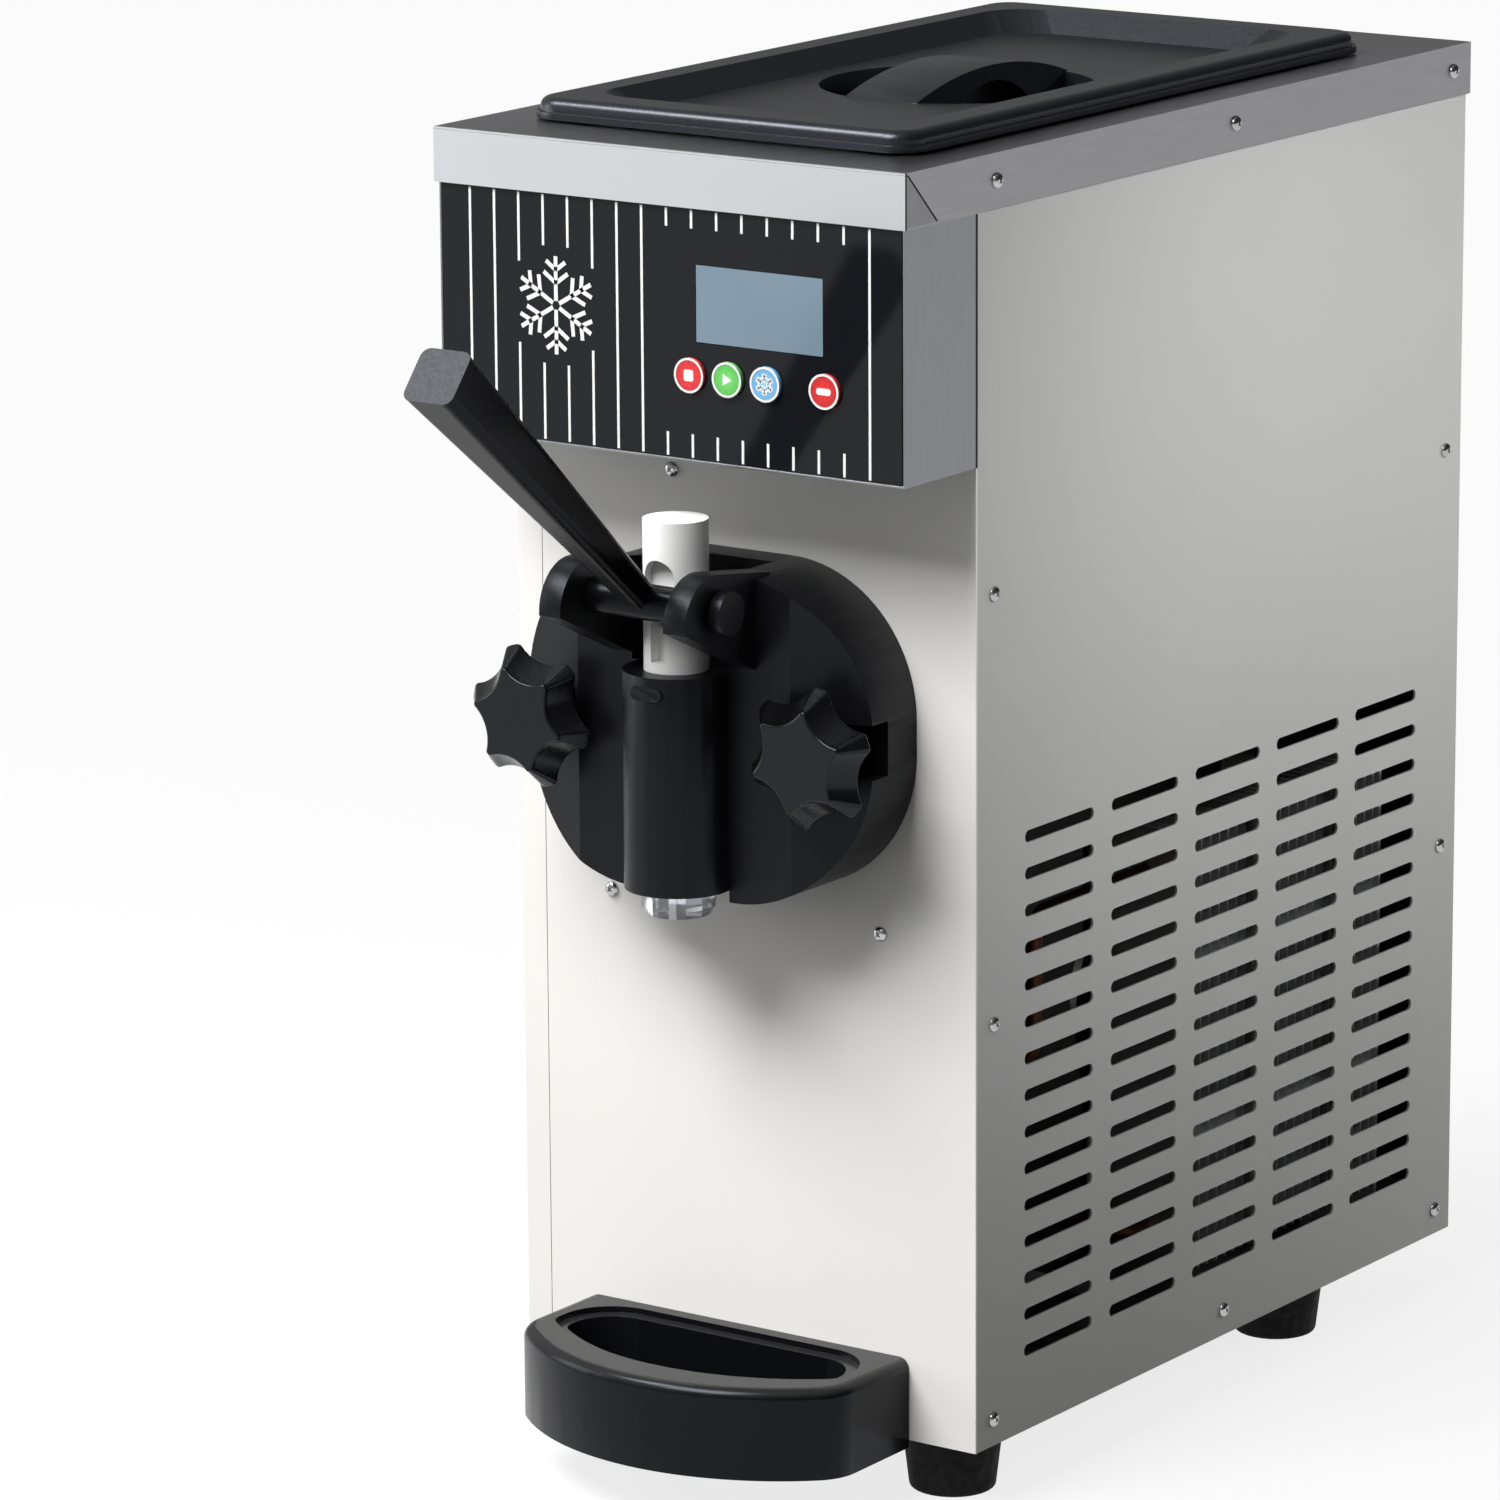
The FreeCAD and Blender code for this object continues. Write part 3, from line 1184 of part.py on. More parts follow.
def star_outline(end, inset, level):
    """A star's closed outline at one level: flutes and lobe tips in turn, joined by small rounds."""
    valley, corner = number(f"knob_{end}_valley"), number(f"knob_{end}_lobe_round") - inset
    circle, flute = valley + number("knob_flute"), number("knob_flute") + inset
    tip = number(f"knob_{end}_radius") - inset
    step = math.pi / number("knob_lobes")
    near = tip - corner
    lean = math.acos((near ** 2 + circle ** 2 - (flute + corner) ** 2) / (2 * near * circle))

    def spot(reach, turn):
        return Vector(reach * math.cos(turn), reach * math.sin(turn), level)

    def small_round(middle, side):
        centre = spot(tip - corner, middle + side * lean)
        start = centre + (spot(circle, middle) - centre) * (corner / (flute + corner))
        end = spot(tip, middle + side * lean)
        half = start + end - centre - centre
        return start, centre + half * (corner / half.Length), end
    edges = []
    for place in range(int(number("knob_lobes"))):
        middle = 2 * step * place
        low, high = small_round(middle, -1), small_round(middle, 1)
        following = small_round(middle + 2 * step, -1)
        for arc in ((low[0], spot(circle - flute, middle), high[0]), high,
                    (high[2], spot(tip, middle + step), following[2]), following[::-1]):
            edges.append(Part.Arc(*arc).toShape())
    return Part.Wire(edges)


def star_knob(label, side, turn):
    """Six-lobed clamping knob: a fluted disc that widens to the rear, and a boss for the stud pocket."""
    wall, edge = number("knob_wall"), number("knob_round")
    sections = []
    for end, leans in (("rear", (90, 60, 30, 0)), ("front", (0, 30, 60, 90))):
        for lean in map(math.radians, leans):
            inset, depth = edge * (1 - math.cos(lean)), edge * (1 - math.sin(lean))
            sections.append(star_outline(end, inset, depth if end == "rear" else wall - depth))
    star = solid(label + "_star", Part.makeLoft(sections, True, True))
    boss = rod(label + "_boss", "z", "knob_boss_radius",
               "knob_rear - stud_pocket_back - fit_gap + knob_wall / 2",
               (0, 0, "stud_pocket_back + fit_gap - knob_rear"))
    bore = rod(label + "_bore", "z", "stud_radius + fit_gap", "stud_end - stud_pocket_back + fit_gap",
               (0, 0, "stud_pocket_back - knob_rear"))
    body = less(label + "_body", fused(label + "_solid", star, boss), bore)
    spin = Rotation(Vector(0, 0, 1), turn - 180 / number("knob_lobes"))
    node(moved(label, body, (f"{side} * stud_reach", "-knob_rear", "stud_rise"), TURNS["-y"] * spin), label)


def draw_lever():
    """Draw lever: a tapering square arm and a lifting finger on one pivot hub."""
    pivot = ("0", "-pivot_reach", "pivot_rise")
    width = "2 * (ear_inner - 2 * fit_gap)"
    hub = rod("lever_hub", "x", "hub_radius", width, ("-ear_inner + 2 * fit_gap", *pivot[1:]))
    arm = doc.addObject("Part::Wedge", "lever_taper")
    for low, high, rule in (("Xmin", "Xmax", "lever_root / 2"), ("Zmin", "Zmax", "lever_root / 2"),
                            ("X2min", "X2max", "lever_end / 2"), ("Z2min", "Z2max", "lever_end / 2")):
        bind(arm, low, f"-{rule}")
        bind(arm, high, rule)
    bind(arm, "Ymin", "0")
    bind(arm, "Ymax", "lever_length")
    put(arm, pivot, Rotation(Vector(1, 0, 0), 1.0))
    bind(arm, "Placement.Rotation.Angle", "180 - lever_tilt")
    doc.recompute()
    long_edge = number("lever_length") * 0.9
    soft_arm = rounded("lever_arm", arm, number("lever_round"), lambda edge: edge.Length > long_edge)
    shank = doc.addObject("Part::Box", "finger_shank")
    bind(shank, "Length", "finger_width")
    bind(shank, "Width", "finger_length")
    bind(shank, "Height", "finger_shank")
    put(shank, ("-finger_width / 2", "-pivot_reach - finger_shank / 2 * sin(finger_tilt)",
                "pivot_rise - finger_shank / 2 * cos(finger_tilt)"), Rotation(Vector(-1, 0, 0), 1.0))
    bind(shank, "Placement.Rotation.Angle", "finger_tilt")
    tip = rod("finger_tip", "x", "finger_tip_radius", "finger_width",
              ("-finger_width / 2", "-pivot_reach + finger_length * cos(finger_tilt)",
               "pivot_rise - finger_length * sin(finger_tilt)"))
    bore = rod("lever_bore", "x", "pin_radius + fit_gap", "4 * ear_inner", ("-2 * ear_inner", *pivot[1:]))
    node(less("draw_lever", fused("lever_body", hub, soft_arm, shank, tip), bore), "draw_lever")


def lever_pin():
    """Headed pivot pin through both ears and the lever's hub."""
    reach = "(ear_inner + ear_wall + pin_head_gap)"
    spot = ("-pivot_reach", "pivot_rise")
    shank = rod("pin_shank", "x", "pin_radius", f"2 * {reach}", (f"-{reach}", *spot))
    heads = [rod(f"pin_head_{side}", "x", "pin_head_radius", "pin_head_wall",
                 (reach if side > 0 else f"-{reach} - pin_head_wall", *spot)) for side in (-1, 1)]
    collars = [rod(f"pin_collar_{side}", "x", "(pin_radius + pin_head_radius) / 2", "pin_head_gap",
                   (f"{reach} - pin_head_gap" if side > 0 else f"-{reach}", *spot)) for side in (-1, 1)]
    node(fused("lever_pin", shank, *heads, *collars), "lever_pin")


TIP_REST = "(pivot_rise - finger_length * sin(finger_tilt))"
PLUNGER_FRONT = "(-valve_reach - plunger_radius)"
PLUNGER_SEALS = ["(plunger_bottom + plunger_seal_low)",
                 "(plunger_bottom + plunger_seal_low + plunger_seal_pitch)"]
PLUNGER_SEAL_MIDDLE = "(plunger_radius - plunger_seal_radius + plunger_gap / 2)"


def valve_plunger():
    """White valve plunger with seal grooves and the notch that the lever's finger works in."""
    stem = rod("plunger_stem", "z", "plunger_radius", "plunger_top - plunger_bottom",
               (0, "-valve_reach", "plunger_bottom"))
    grooves = [ring(f"plunger_groove_{place}", "z", "plunger_radius + plunger_gap",
                    f"{PLUNGER_SEAL_MIDDLE} - plunger_seal_radius - plunger_gap / 3",
                    "2 * plunger_seal_radius + plunger_gap",
                    (0, "-valve_reach", f"{level} - plunger_seal_radius - plunger_gap / 2"))
               for place, level in enumerate(PLUNGER_SEALS)]
    depth = (f"{PLUNGER_FRONT} - fit_gap", f"{PLUNGER_FRONT} + plunger_slot_depth")
    slot = block("plunger_slot", ("-plunger_slot_width / 2", "plunger_slot_width / 2"), depth,
                 ("plunger_slot_bottom", "pivot_rise"))
    arch = "(plunger_notch_top - plunger_notch_width / 2)"
    notch = block("plunger_notch", ("-plunger_notch_width / 2", "plunger_notch_width / 2"), depth,
                  (TIP_REST, arch))
    crown = rod("plunger_notch_crown", "y", "plunger_notch_width / 2", "plunger_slot_depth + fit_gap",
                (0, depth[0], arch))
    pocket_half = "(finger_tip_radius + 2 * run_gap)"
    tip = block("plunger_pocket", ("-plunger_slot_width / 2", "plunger_slot_width / 2"),
                (depth[0], "-pivot_reach + finger_length + finger_tip_radius + run_gap"),
                (f"{TIP_REST} - {pocket_half}", f"{TIP_REST} + {pocket_half}"))
    node(less("valve_plunger", stem, *grooves, slot, notch, crown, tip), "valve_plunger")
    seals = [torus(f"plunger_seal_{place}", "z", PLUNGER_SEAL_MIDDLE, "plunger_seal_radius",
                   (0, "-valve_reach", level))
             for place, level in enumerate(PLUNGER_SEALS)]
    node(group("plunger_seals", *seals), "plunger_seals")


def star_nozzle():
    """Clear push-in nozzle with a star-shaped outlet."""
    spigot = f"{PLUNGER_BORE} - fit_gap"
    bottom = "-fit_gap - nozzle_length"
    body = turned("nozzle_body", [("0", bottom), ("nozzle_radius - nozzle_length / 5", bottom),
                                  ("nozzle_radius", f"{bottom} + nozzle_length / 3"),
                                  ("nozzle_radius", "-fit_gap"),
                                  (spigot, "-fit_gap"), (spigot, "nozzle_spigot"), ("0", "nozzle_spigot")])
    sketch = sketch_on(body, "XY_Plane", "nozzle_star")
    points = int(number("nozzle_points"))
    star = []
    for place in range(2 * points):
        radius = "nozzle_star_outer" if place % 2 == 0 else "nozzle_star_inner"
        turn = f"{place} * 180 / nozzle_points"
        star.append((f"{radius} * cos({turn})", f"{radius} * sin({turn})"))
    outline(sketch, star)
    pocket(body, sketch, "nozzle_outlet")
    node(moved("star_nozzle", body, (0, "-valve_reach", "column_bottom")), "star_nozzle")


def rail_box(side, gap):
    """One tray rail as low and high rules on each axis, larger by a gap all round."""
    outer = f"(tray_width / 2 - tray_rail_inset + {gap})"
    inner = f"(tray_width / 2 - tray_rail_inset - tray_rail_wall - {gap})"
    low = "(pan_flange + 3 * fit_gap)"
    return (sorted_rules(side, inner, outer), (f"-tray_rail_length - {gap}", f"sheet_wall + {gap}"),
            (f"{low} - {gap}", f"{low} + tray_rail_height + {gap}"))


def tray_rails():
    """Two tongues through the front panel, each with a foot behind it, which the tray slides on."""
    rails = []
    for side in (-1, 1):
        x, y, z = rail_box(side, "0")
        tongue = block(f"rail_tongue_{side}", x, (y[0], "sheet_wall + tray_rail_wall"), z)
        foot = block(f"rail_foot_{side}", (f"{x[0]} - tray_rail_wall", f"{x[1]} + tray_rail_wall"),
                     ("sheet_wall", "sheet_wall + tray_rail_wall"), (z[0], f"{z[1]} + tray_rail_wall"))
        rails.append(fused(f"rail_{side}", tongue, foot))
    node(group("tray_rails", *rails), "tray_rails")


def d_block(name, inset, rear, front_rim, height, front_corner, rear_corner=None):
    """A block on the tray's D-shaped plan, drawn in on each side, its rear corners round if asked."""
    half = f"(tray_width / 2 - ({inset}))"
    reach = f"(tray_reach - ({front_rim}))"
    base = block(name + "_plan", (f"-{half}", half), (f"-{reach}", f"-({rear})"), height)
    front = rod(name + "_front", "z", "tray_front_radius", f"({height[1]}) - ({height[0]})",
                (0, f"-{reach} + tray_front_radius", height[0]))
    bow = overlap(name + "_bow", base, front)
    doc.recompute()
    middle = bow.Shape.BoundBox.Center.y
    rise = bow.Shape.BoundBox.ZLength

    def at_front(edge):
        return runs_along("z")(edge) and edge.Length > 0.9 * rise and edge.BoundBox.YMax < middle + rise
    if rear_corner:
        bow = rounded(name + "_rear", bow, number(rear_corner),
                      lambda edge: runs_along("z")(edge) and is_rear(edge, bow))
    return rounded(name, bow, number(front_corner), lambda edge: at_front(edge) and not is_rear(edge, bow))


def is_rear(edge, item):
    return edge.BoundBox.YMin > item.Shape.BoundBox.YMax - 0.01


def drip_tray():
    """Deep D-shaped drip tray with a rounded rim, a sunken ledge and a slot for each rail."""
    low, high = "-tray_drop", "(tray_height - tray_drop)"
    plan = d_block("tray_outer", "0", "fit_gap", "0", (low, high), "tray_corner")
    doc.recompute()
    top = at_level("z", plan.Shape.BoundBox.ZMax)
    outer = rounded("tray_edge", plan, number("tray_round"),
                    lambda edge: top(edge) and not is_rear(edge, plan))
    hollows = [d_block("tray_ledge_cut", "tray_rim", "tray_rear_margin", "tray_front_rim",
                       (f"{high} - tray_ledge_depth", f"{high} + tray_floor"), "tray_hollow_corner",
                       "tray_ledge_corner"),
               d_block("tray_basin", "tray_rim + tray_ledge", "tray_rear_margin + tray_ledge",
                       "tray_front_rim + tray_ledge", (f"{low} + tray_floor", f"{high} + tray_floor"),
                       "tray_hollow_corner", "tray_basin_corner")]
    slots = [block(f"tray_rail_slot_{side}", *rail_box(side, "fit_gap")) for side in (-1, 1)]
    node(less("drip_tray", outer, *hollows, *slots), "drip_tray")


PINION_RISE = f"(barrel_rise - {GEAR_CENTRES})"
GEAR_FRONT = f"({PLATE_BACK} + gear_start)"
PULLEY_FRONT = f"({PLATE_BACK} + pulley_start)"


def drive_plate():
    """Steel plate on the base pan that carries the gearbox and the motor, stepped clear of the condenser."""
    thick = (PLATE_FRONT, PLATE_BACK)
    step = f"({CONDENSER_TOP} + run_gap)"
    upper = block("plate_upper", ("-drive_plate_width / 2", "drive_plate_width / 2"), thick,
                  (step, "drive_plate_top"))
    middle = block("plate_middle", ("-drive_plate_width / 2", f"{SHROUD_BACK} - shroud_wall - run_gap"),
                   thick,
                   ("drive_plate_waist", step))
    lower = block("plate_lower", ("-drive_plate_left", "drive_plate_right"), thick,
                  ("pan_floor", "drive_plate_waist"))
    foot = block("plate_foot", ("-drive_plate_left", "drive_plate_right"),
                 (f"{PLATE_FRONT} - return_flange", PLATE_BACK),
                 ("pan_floor", "pan_floor + drive_plate_wall"))
    shaft = rod("plate_shaft_hole", "y", "beater_shaft_radius + run_gap", "3 * drive_plate_wall",
                (0, f"{PLATE_FRONT} - drive_plate_wall", "barrel_rise"))
    pinion = rod("plate_pinion_hole", "y", "pinion_shaft_radius + fit_gap", "3 * drive_plate_wall",
                 (0, f"{PLATE_FRONT} - drive_plate_wall", PINION_RISE))
    node(less("drive_plate", fused("plate_sheet", upper, middle, lower, foot), shaft, pinion), "drive_plate")


def gearbox_case():
    """Cast case over the two gears, open towards the drive plate."""
    back = f"({PLATE_BACK} + gearbox_depth)"
    outer = block("case_outer", ("-gearbox_side", "gearbox_side"), (PLATE_BACK, back),
                  ("barrel_rise - gearbox_bottom", "barrel_rise + gearbox_top"))
    inner = block("case_inner", ("-gearbox_side + gearbox_wall", "gearbox_side - gearbox_wall"),
                  (f"{PLATE_BACK} - gearbox_wall", f"{back} - gearbox_wall"),
                  ("barrel_rise - gearbox_bottom + gearbox_wall", "barrel_rise + gearbox_top - gearbox_wall"))
    holes = [rod("case_gear_hole", "y", "beater_shaft_radius + fit_gap", "3 * gearbox_wall",
                 (0, f"{back} - 2 * gearbox_wall", "barrel_rise")),
             rod("case_pinion_hole", "y", "pinion_shaft_radius + fit_gap", "3 * gearbox_wall",
                 (0, f"{back} - 2 * gearbox_wall", PINION_RISE))]
    node(less("gearbox_case", outer, inner, *holes), "gearbox_case")


def toothed_wheel(teeth, phase):
    """A spur wheel's solid about the origin along +y, with one tooth at the phase angle from +x to +z."""
    module, backlash = number("gear_module"), number("gear_backlash")
    lean = math.tan(math.radians(number("gear_pressure")))
    pitch = module * teeth / 2
    root, tip = pitch - 1.25 * module, pitch + module
    corners = []
    for tooth in range(teeth):
        middle = phase + 2 * math.pi * tooth / teeth
        for radius, side in ((root, -1), (tip, -1), (tip, 1), (root, 1)):
            half = math.pi * module / 4 - backlash / 2 - (radius - pitch) * lean
            turn = middle + side * half / radius
            corners.append(Vector(radius * math.cos(turn), 0, radius * math.sin(turn)))
    face = Part.Face(Part.makePolygon(corners + corners[:1]))
    return face.extrude(Vector(0, number("gear_face"), 0))


def gears():
    """The beater's gear with its rear stub, and the pinion on its through shaft."""
    gear_teeth, pinion_teeth = int(number("gear_teeth")), int(number("pinion_teeth"))
    wheel = put(solid("gear_wheel", toothed_wheel(gear_teeth, -math.pi / 2)), (0, GEAR_FRONT, "barrel_rise"))
    stub = rod("gear_stub", "y", "beater_shaft_radius", "gearbox_depth - gear_start - gear_face",
               (0, f"{GEAR_FRONT} + gear_face", "barrel_rise"))
    node(fused("drive_gear", wheel, stub), "drive_gear")
    small = put(solid("pinion_wheel", toothed_wheel(pinion_teeth, math.pi / 2 + math.pi / pinion_teeth)),
                (0, GEAR_FRONT, PINION_RISE))
    shaft = rod("pinion_shaft", "y", "pinion_shaft_radius", "drive_plate_wall + pulley_start + pulley_face",
                (0, PLATE_FRONT, PINION_RISE))
    node(fused("drive_pinion", small, shaft), "drive_pinion")


def pulley(label, radius, bore, spot):
    """A flanged flat-belt pulley with its bore along y."""
    rim = f"({radius} + pulley_flange)"
    body = turned(label + "_body", [(bore, "0"), (rim, "0"), (rim, "pulley_flange_wall"),
                                    (radius, "pulley_flange_wall"),
                                    (radius, "pulley_face - pulley_flange_wall"),
                                    (rim, "pulley_face - pulley_flange_wall"), (rim, "pulley_face"),
                                    (bore, "pulley_face")])
    return put(body, (spot[0], PULLEY_FRONT, spot[1]), TURNS["y"])


def belt_loop(grow):
    """The face that a taut loop round both pulleys bounds, at a clearance from their grooves."""
    near, far = number("gearbox_pulley_radius") + grow, number("motor_pulley_radius") + grow
    centres = number("gear_module") * (number("gear_teeth") + number("pinion_teeth")) / 2
    big = Vector(0, 0, number("barrel_rise") - centres)
    small = Vector(-number("motor_left"), 0, number("motor_rise"))
    run = small - big
    aim = math.atan2(run.z, run.x)
    spread = math.acos((near - far) / run.Length)

    def on(middle, radius, turn):
        return middle + Vector(math.cos(turn), 0, math.sin(turn)) * radius
    ends = [on(big, near, aim + spread), on(big, near, aim - spread),
            on(small, far, aim - spread), on(small, far, aim + spread)]
    back, front = on(big, near, aim + math.pi), on(small, far, aim)
    return Part.Face(Part.Wire([Part.Arc(ends[0], back, ends[1]).toShape(), Part.makeLine(ends[1], ends[2]),
                                Part.Arc(ends[2], front, ends[3]).toShape(),
                                Part.makeLine(ends[3], ends[0])]))


def belt_and_pulleys():
    """The belt from the motor's pulley to the gearbox's, and both pulleys."""
    large = pulley("gearbox_pulley", "gearbox_pulley_radius", "(pinion_shaft_radius + fit_gap)",
                   ("0", PINION_RISE))
    node(group("gearbox_pulley", large), "gearbox_pulley")
    motor_spot = ("-motor_left", "motor_rise")
    small = pulley("motor_pulley", "motor_pulley_radius", "(motor_shaft_radius / 2)", motor_spot)
    shaft = rod("motor_shaft", "y", "motor_shaft_radius",
                "pulley_start + pulley_face - motor_length - fit_gap",
                (motor_spot[0], f"{PLATE_BACK} + motor_length + fit_gap", motor_spot[1]))
    node(fused("motor_pulley", small, shaft), "motor_pulley")
    groove = number("pulley_face") - 2 * number("pulley_flange_wall") - 2 * number("run_gap")
    loop = belt_loop(number("fit_gap") + number("belt_wall")).cut(belt_loop(number("fit_gap")))
    belt = put(solid("belt_band", loop.extrude(Vector(0, groove, 0))),
               (0, f"{PULLEY_FRONT} + pulley_flange_wall + run_gap", 0))
    node(group("drive_belt", belt), "drive_belt")


def drive_motor():
    body = turned("motor_body", [("0", "0"), ("motor_radius", "0"), ("motor_radius", "motor_length * 0.85"),
                                 ("motor_radius * 0.8", "motor_length"), ("0", "motor_length")])
    node(moved("drive_motor", body, ("-motor_left", PLATE_BACK, "motor_rise"), TURNS["y"]), "drive_motor")


COMPRESSOR_FOOT = "(pan_floor + mount_height + compressor_base_wall)"


def compressor():
    """Sealed compressor shell on its base plate, carried by four rubber mounts."""
    shell = turned("compressor_shell", [("0", "0"), ("compressor_radius", "0"),
                                        ("compressor_radius", "compressor_height"),
                                        ("0", "compressor_height")])
    soften(shell, "compressor_round", "compressor_crown",
           lambda edge: edge.Curve.TypeId == "Part::GeomCircle")
    put(shell, ("-compressor_left", "compressor_depth", COMPRESSOR_FOOT))
    base = block("compressor_plate", ("-compressor_left - compressor_base / 2",
                                      "-compressor_left + compressor_base / 2"),
                 ("compressor_depth - compressor_base / 2", "compressor_depth + compressor_base / 2"),
                 ("pan_floor + mount_height", COMPRESSOR_FOOT))
    node(fused("compressor", shell, base), "compressor")
    reach = "(compressor_base / 2 - mount_inset)"
    mounts = [rod(f"mount_{across}_{along}", "z", "mount_radius", "mount_height",
                  (f"-compressor_left + {across} * {reach}", f"compressor_depth + {along} * {reach}",
                   "pan_floor"))
              for across in (-1, 1) for along in (-1, 1)]
    node(group("compressor_mounts", *mounts), "compressor_mounts")


CONDENSER_LEFT = "(condenser_right - condenser_wall)"
CONDENSER_END = "(condenser_start + condenser_length)"
CONDENSER_TOP = "(condenser_bottom + condenser_height)"
FAN_MIDDLE = ("(condenser_start + condenser_length / 2)", "(condenser_bottom + condenser_height / 2)")


def condenser():
    """Finned condenser behind the right side's slots: end plates, fins and two columns of tubes."""
    across = (CONDENSER_LEFT, "condenser_right")
    pieces = [block("condenser_front_plate", across, ("condenser_start", "condenser_start + condenser_plate"),
                    ("pan_floor", CONDENSER_TOP)),
              block("condenser_rear_plate", across, (f"{CONDENSER_END} - condenser_plate", CONDENSER_END),
                    ("pan_floor", CONDENSER_TOP))]
    for fin in range(int(number("fin_count"))):
        place = f"(condenser_start + {fin + 1} * condenser_length / (fin_count + 1))"
        pieces.append(block(f"fin_{fin}", across, (f"{place} - fin_wall / 2", f"{place} + fin_wall / 2"),
                            ("condenser_bottom", CONDENSER_TOP)))
    for column in range(int(number("condenser_tube_columns"))):
        for row in range(int(number("condenser_tube_rows"))):
            spot = (f"{CONDENSER_LEFT} + ({column} + 0.5) * condenser_wall / condenser_tube_columns",
                    "condenser_start",
                    f"condenser_bottom + ({row} + 0.5) * condenser_height / condenser_tube_rows")
            pieces.append(rod(f"condenser_tube_{column}_{row}", "y", "condenser_tube_radius",
                              "condenser_length", spot))
    node(fused("condenser", *pieces), "condenser")


SHROUD_BACK = f"({CONDENSER_LEFT} - fit_gap)"
DUCT_END = f"({CONDENSER_LEFT} - fit_gap - shroud_wall - shroud_duct)"
DUCT_INNER = "(fan_radius + fan_tip_gap)"


def fan_shroud():
    """Shroud on the condenser's inner face: a plate, a round duct and a spider for the fan's motor."""
    plate = block("shroud_plate", (f"{SHROUD_BACK} - shroud_wall", SHROUD_BACK),
                  ("condenser_start", CONDENSER_END),
                  ("condenser_bottom", CONDENSER_TOP))
    duct = rod("shroud_duct", "x", f"{DUCT_INNER} + shroud_wall", "shroud_duct", (DUCT_END, *FAN_MIDDLE))
    hole = rod("shroud_hole", "x", DUCT_INNER, "shroud_duct + 2 * shroud_wall", (DUCT_END, *FAN_MIDDLE))
    tunnel = less("shroud_tunnel", fused("shroud_body", plate, duct), hole)
    disc = rod("spider_disc", "x", "fan_motor_radius", "shroud_wall",
               (f"{DUCT_END} - shroud_wall", *FAN_MIDDLE))
    arms = []
    for turn in (90, 210, 330):
        arm = doc.addObject("Part::Box", f"spider_arm_{turn}")
        bind(arm, "Length", "shroud_wall")
        bind(arm, "Width", f"{DUCT_INNER} + shroud_wall / 2")
        bind(arm, "Height", "spider_width")
        arms.append(put(arm, (f"{DUCT_END} - shroud_wall",
                              f"{FAN_MIDDLE[0]} + spider_width / 2 * sin({turn})",
                              f"{FAN_MIDDLE[1]} - spider_width / 2 * cos({turn})"),
                        Rotation(Vector(1, 0, 0), turn)))
    shaft = rod("spider_hole", "x", "fan_shaft_radius + run_gap", "3 * shroud_wall",
                (f"{DUCT_END} - 2 * shroud_wall", *FAN_MIDDLE))
    node(less("fan_shroud", fused("shroud_frame", tunnel, disc, *arms), shaft), "fan_shroud")


def fan():
    """The fan's motor on the spider and the bladed rotor in the duct."""
    motor = rod("fan_motor_can", "x", "fan_motor_radius", "fan_motor_length",
                (f"{DUCT_END} - shroud_wall - fan_motor_length", *FAN_MIDDLE))
    node(group("fan_motor", motor), "fan_motor")
    hub = rod("fan_hub", "x", "fan_hub_radius", "fan_hub_length", (f"{DUCT_END} + fan_tip_gap", *FAN_MIDDLE))
    shaft = rod("fan_shaft", "x", "fan_shaft_radius",
                "shroud_wall + fan_tip_gap + fan_hub_length / 2 - fit_gap",
                (f"{DUCT_END} - shroud_wall + fit_gap", *FAN_MIDDLE))
    chord, wall = number("fan_blade_chord"), number("fan_blade_wall")
    start = number("fan_hub_radius") - wall
    count = int(number("fan_blades"))
    blades = []
    for place in range(count):
        shape = Part.makeBox(chord, number("fan_radius") - start, wall, Vector(-chord / 2, start, -wall / 2))
        pitch = Rotation(Vector(0, 1, 0), number("fan_blade_pitch"))
        turn = Rotation(Vector(1, 0, 0), 360 * place / count) * pitch
        blades.append(put(solid(f"fan_vane_{place}", shape),
                          (f"{DUCT_END} + fan_tip_gap + fan_hub_length / 2", *FAN_MIDDLE), turn))
    node(fused("fan_blade", hub, shaft, *blades), "fan_blade")


DRIER_DEPTH = f"({PLATE_FRONT} - drier_radius - fit_gap)"


def filter_drier():
    """Copper filter drier that stands against the drive plate."""
    neck = "pipe_radius + fit_gap"
    body = turned("drier_body", [("0", "0"), (neck, "0"), ("drier_radius", "drier_radius * 1.2"),
                                 ("drier_radius", "drier_length - drier_radius * 1.2"),
                                 (neck, "drier_length"),
                                 ("0", "drier_length")])
    node(moved("filter_drier", body, ("-drier_left", DRIER_DEPTH, "drier_rise")), "filter_drier")


def pipe(label, *corners):
    """A round pipe through corners, with an arc of the bend radius at each."""
    bend = number("pipe_bend")
    spots = [Vector(*corner) for corner in corners]
    edges = []
    start = spots[0]
    for before, corner, after in zip(spots, spots[1:], spots[2:]):
        back = (before - corner).normalize()
        ahead = (after - corner).normalize()
        first, last = corner + back * bend, corner + ahead * bend
        middle = corner + (back + ahead) * bend - (back + ahead).normalize() * bend
        edges.append(Part.makeLine(start, first))
        edges.append(Part.Arc(first, middle, last).toShape())
        start = last
    edges.append(Part.makeLine(start, spots[-1]))
    way = Part.Wire(edges)
    circle = Part.Wire(Part.makeCircle(number("pipe_radius"), spots[0], spots[1] - spots[0]))
    node(group(label, solid(label + "_run", way.makePipeShell([circle], True, False))), label)


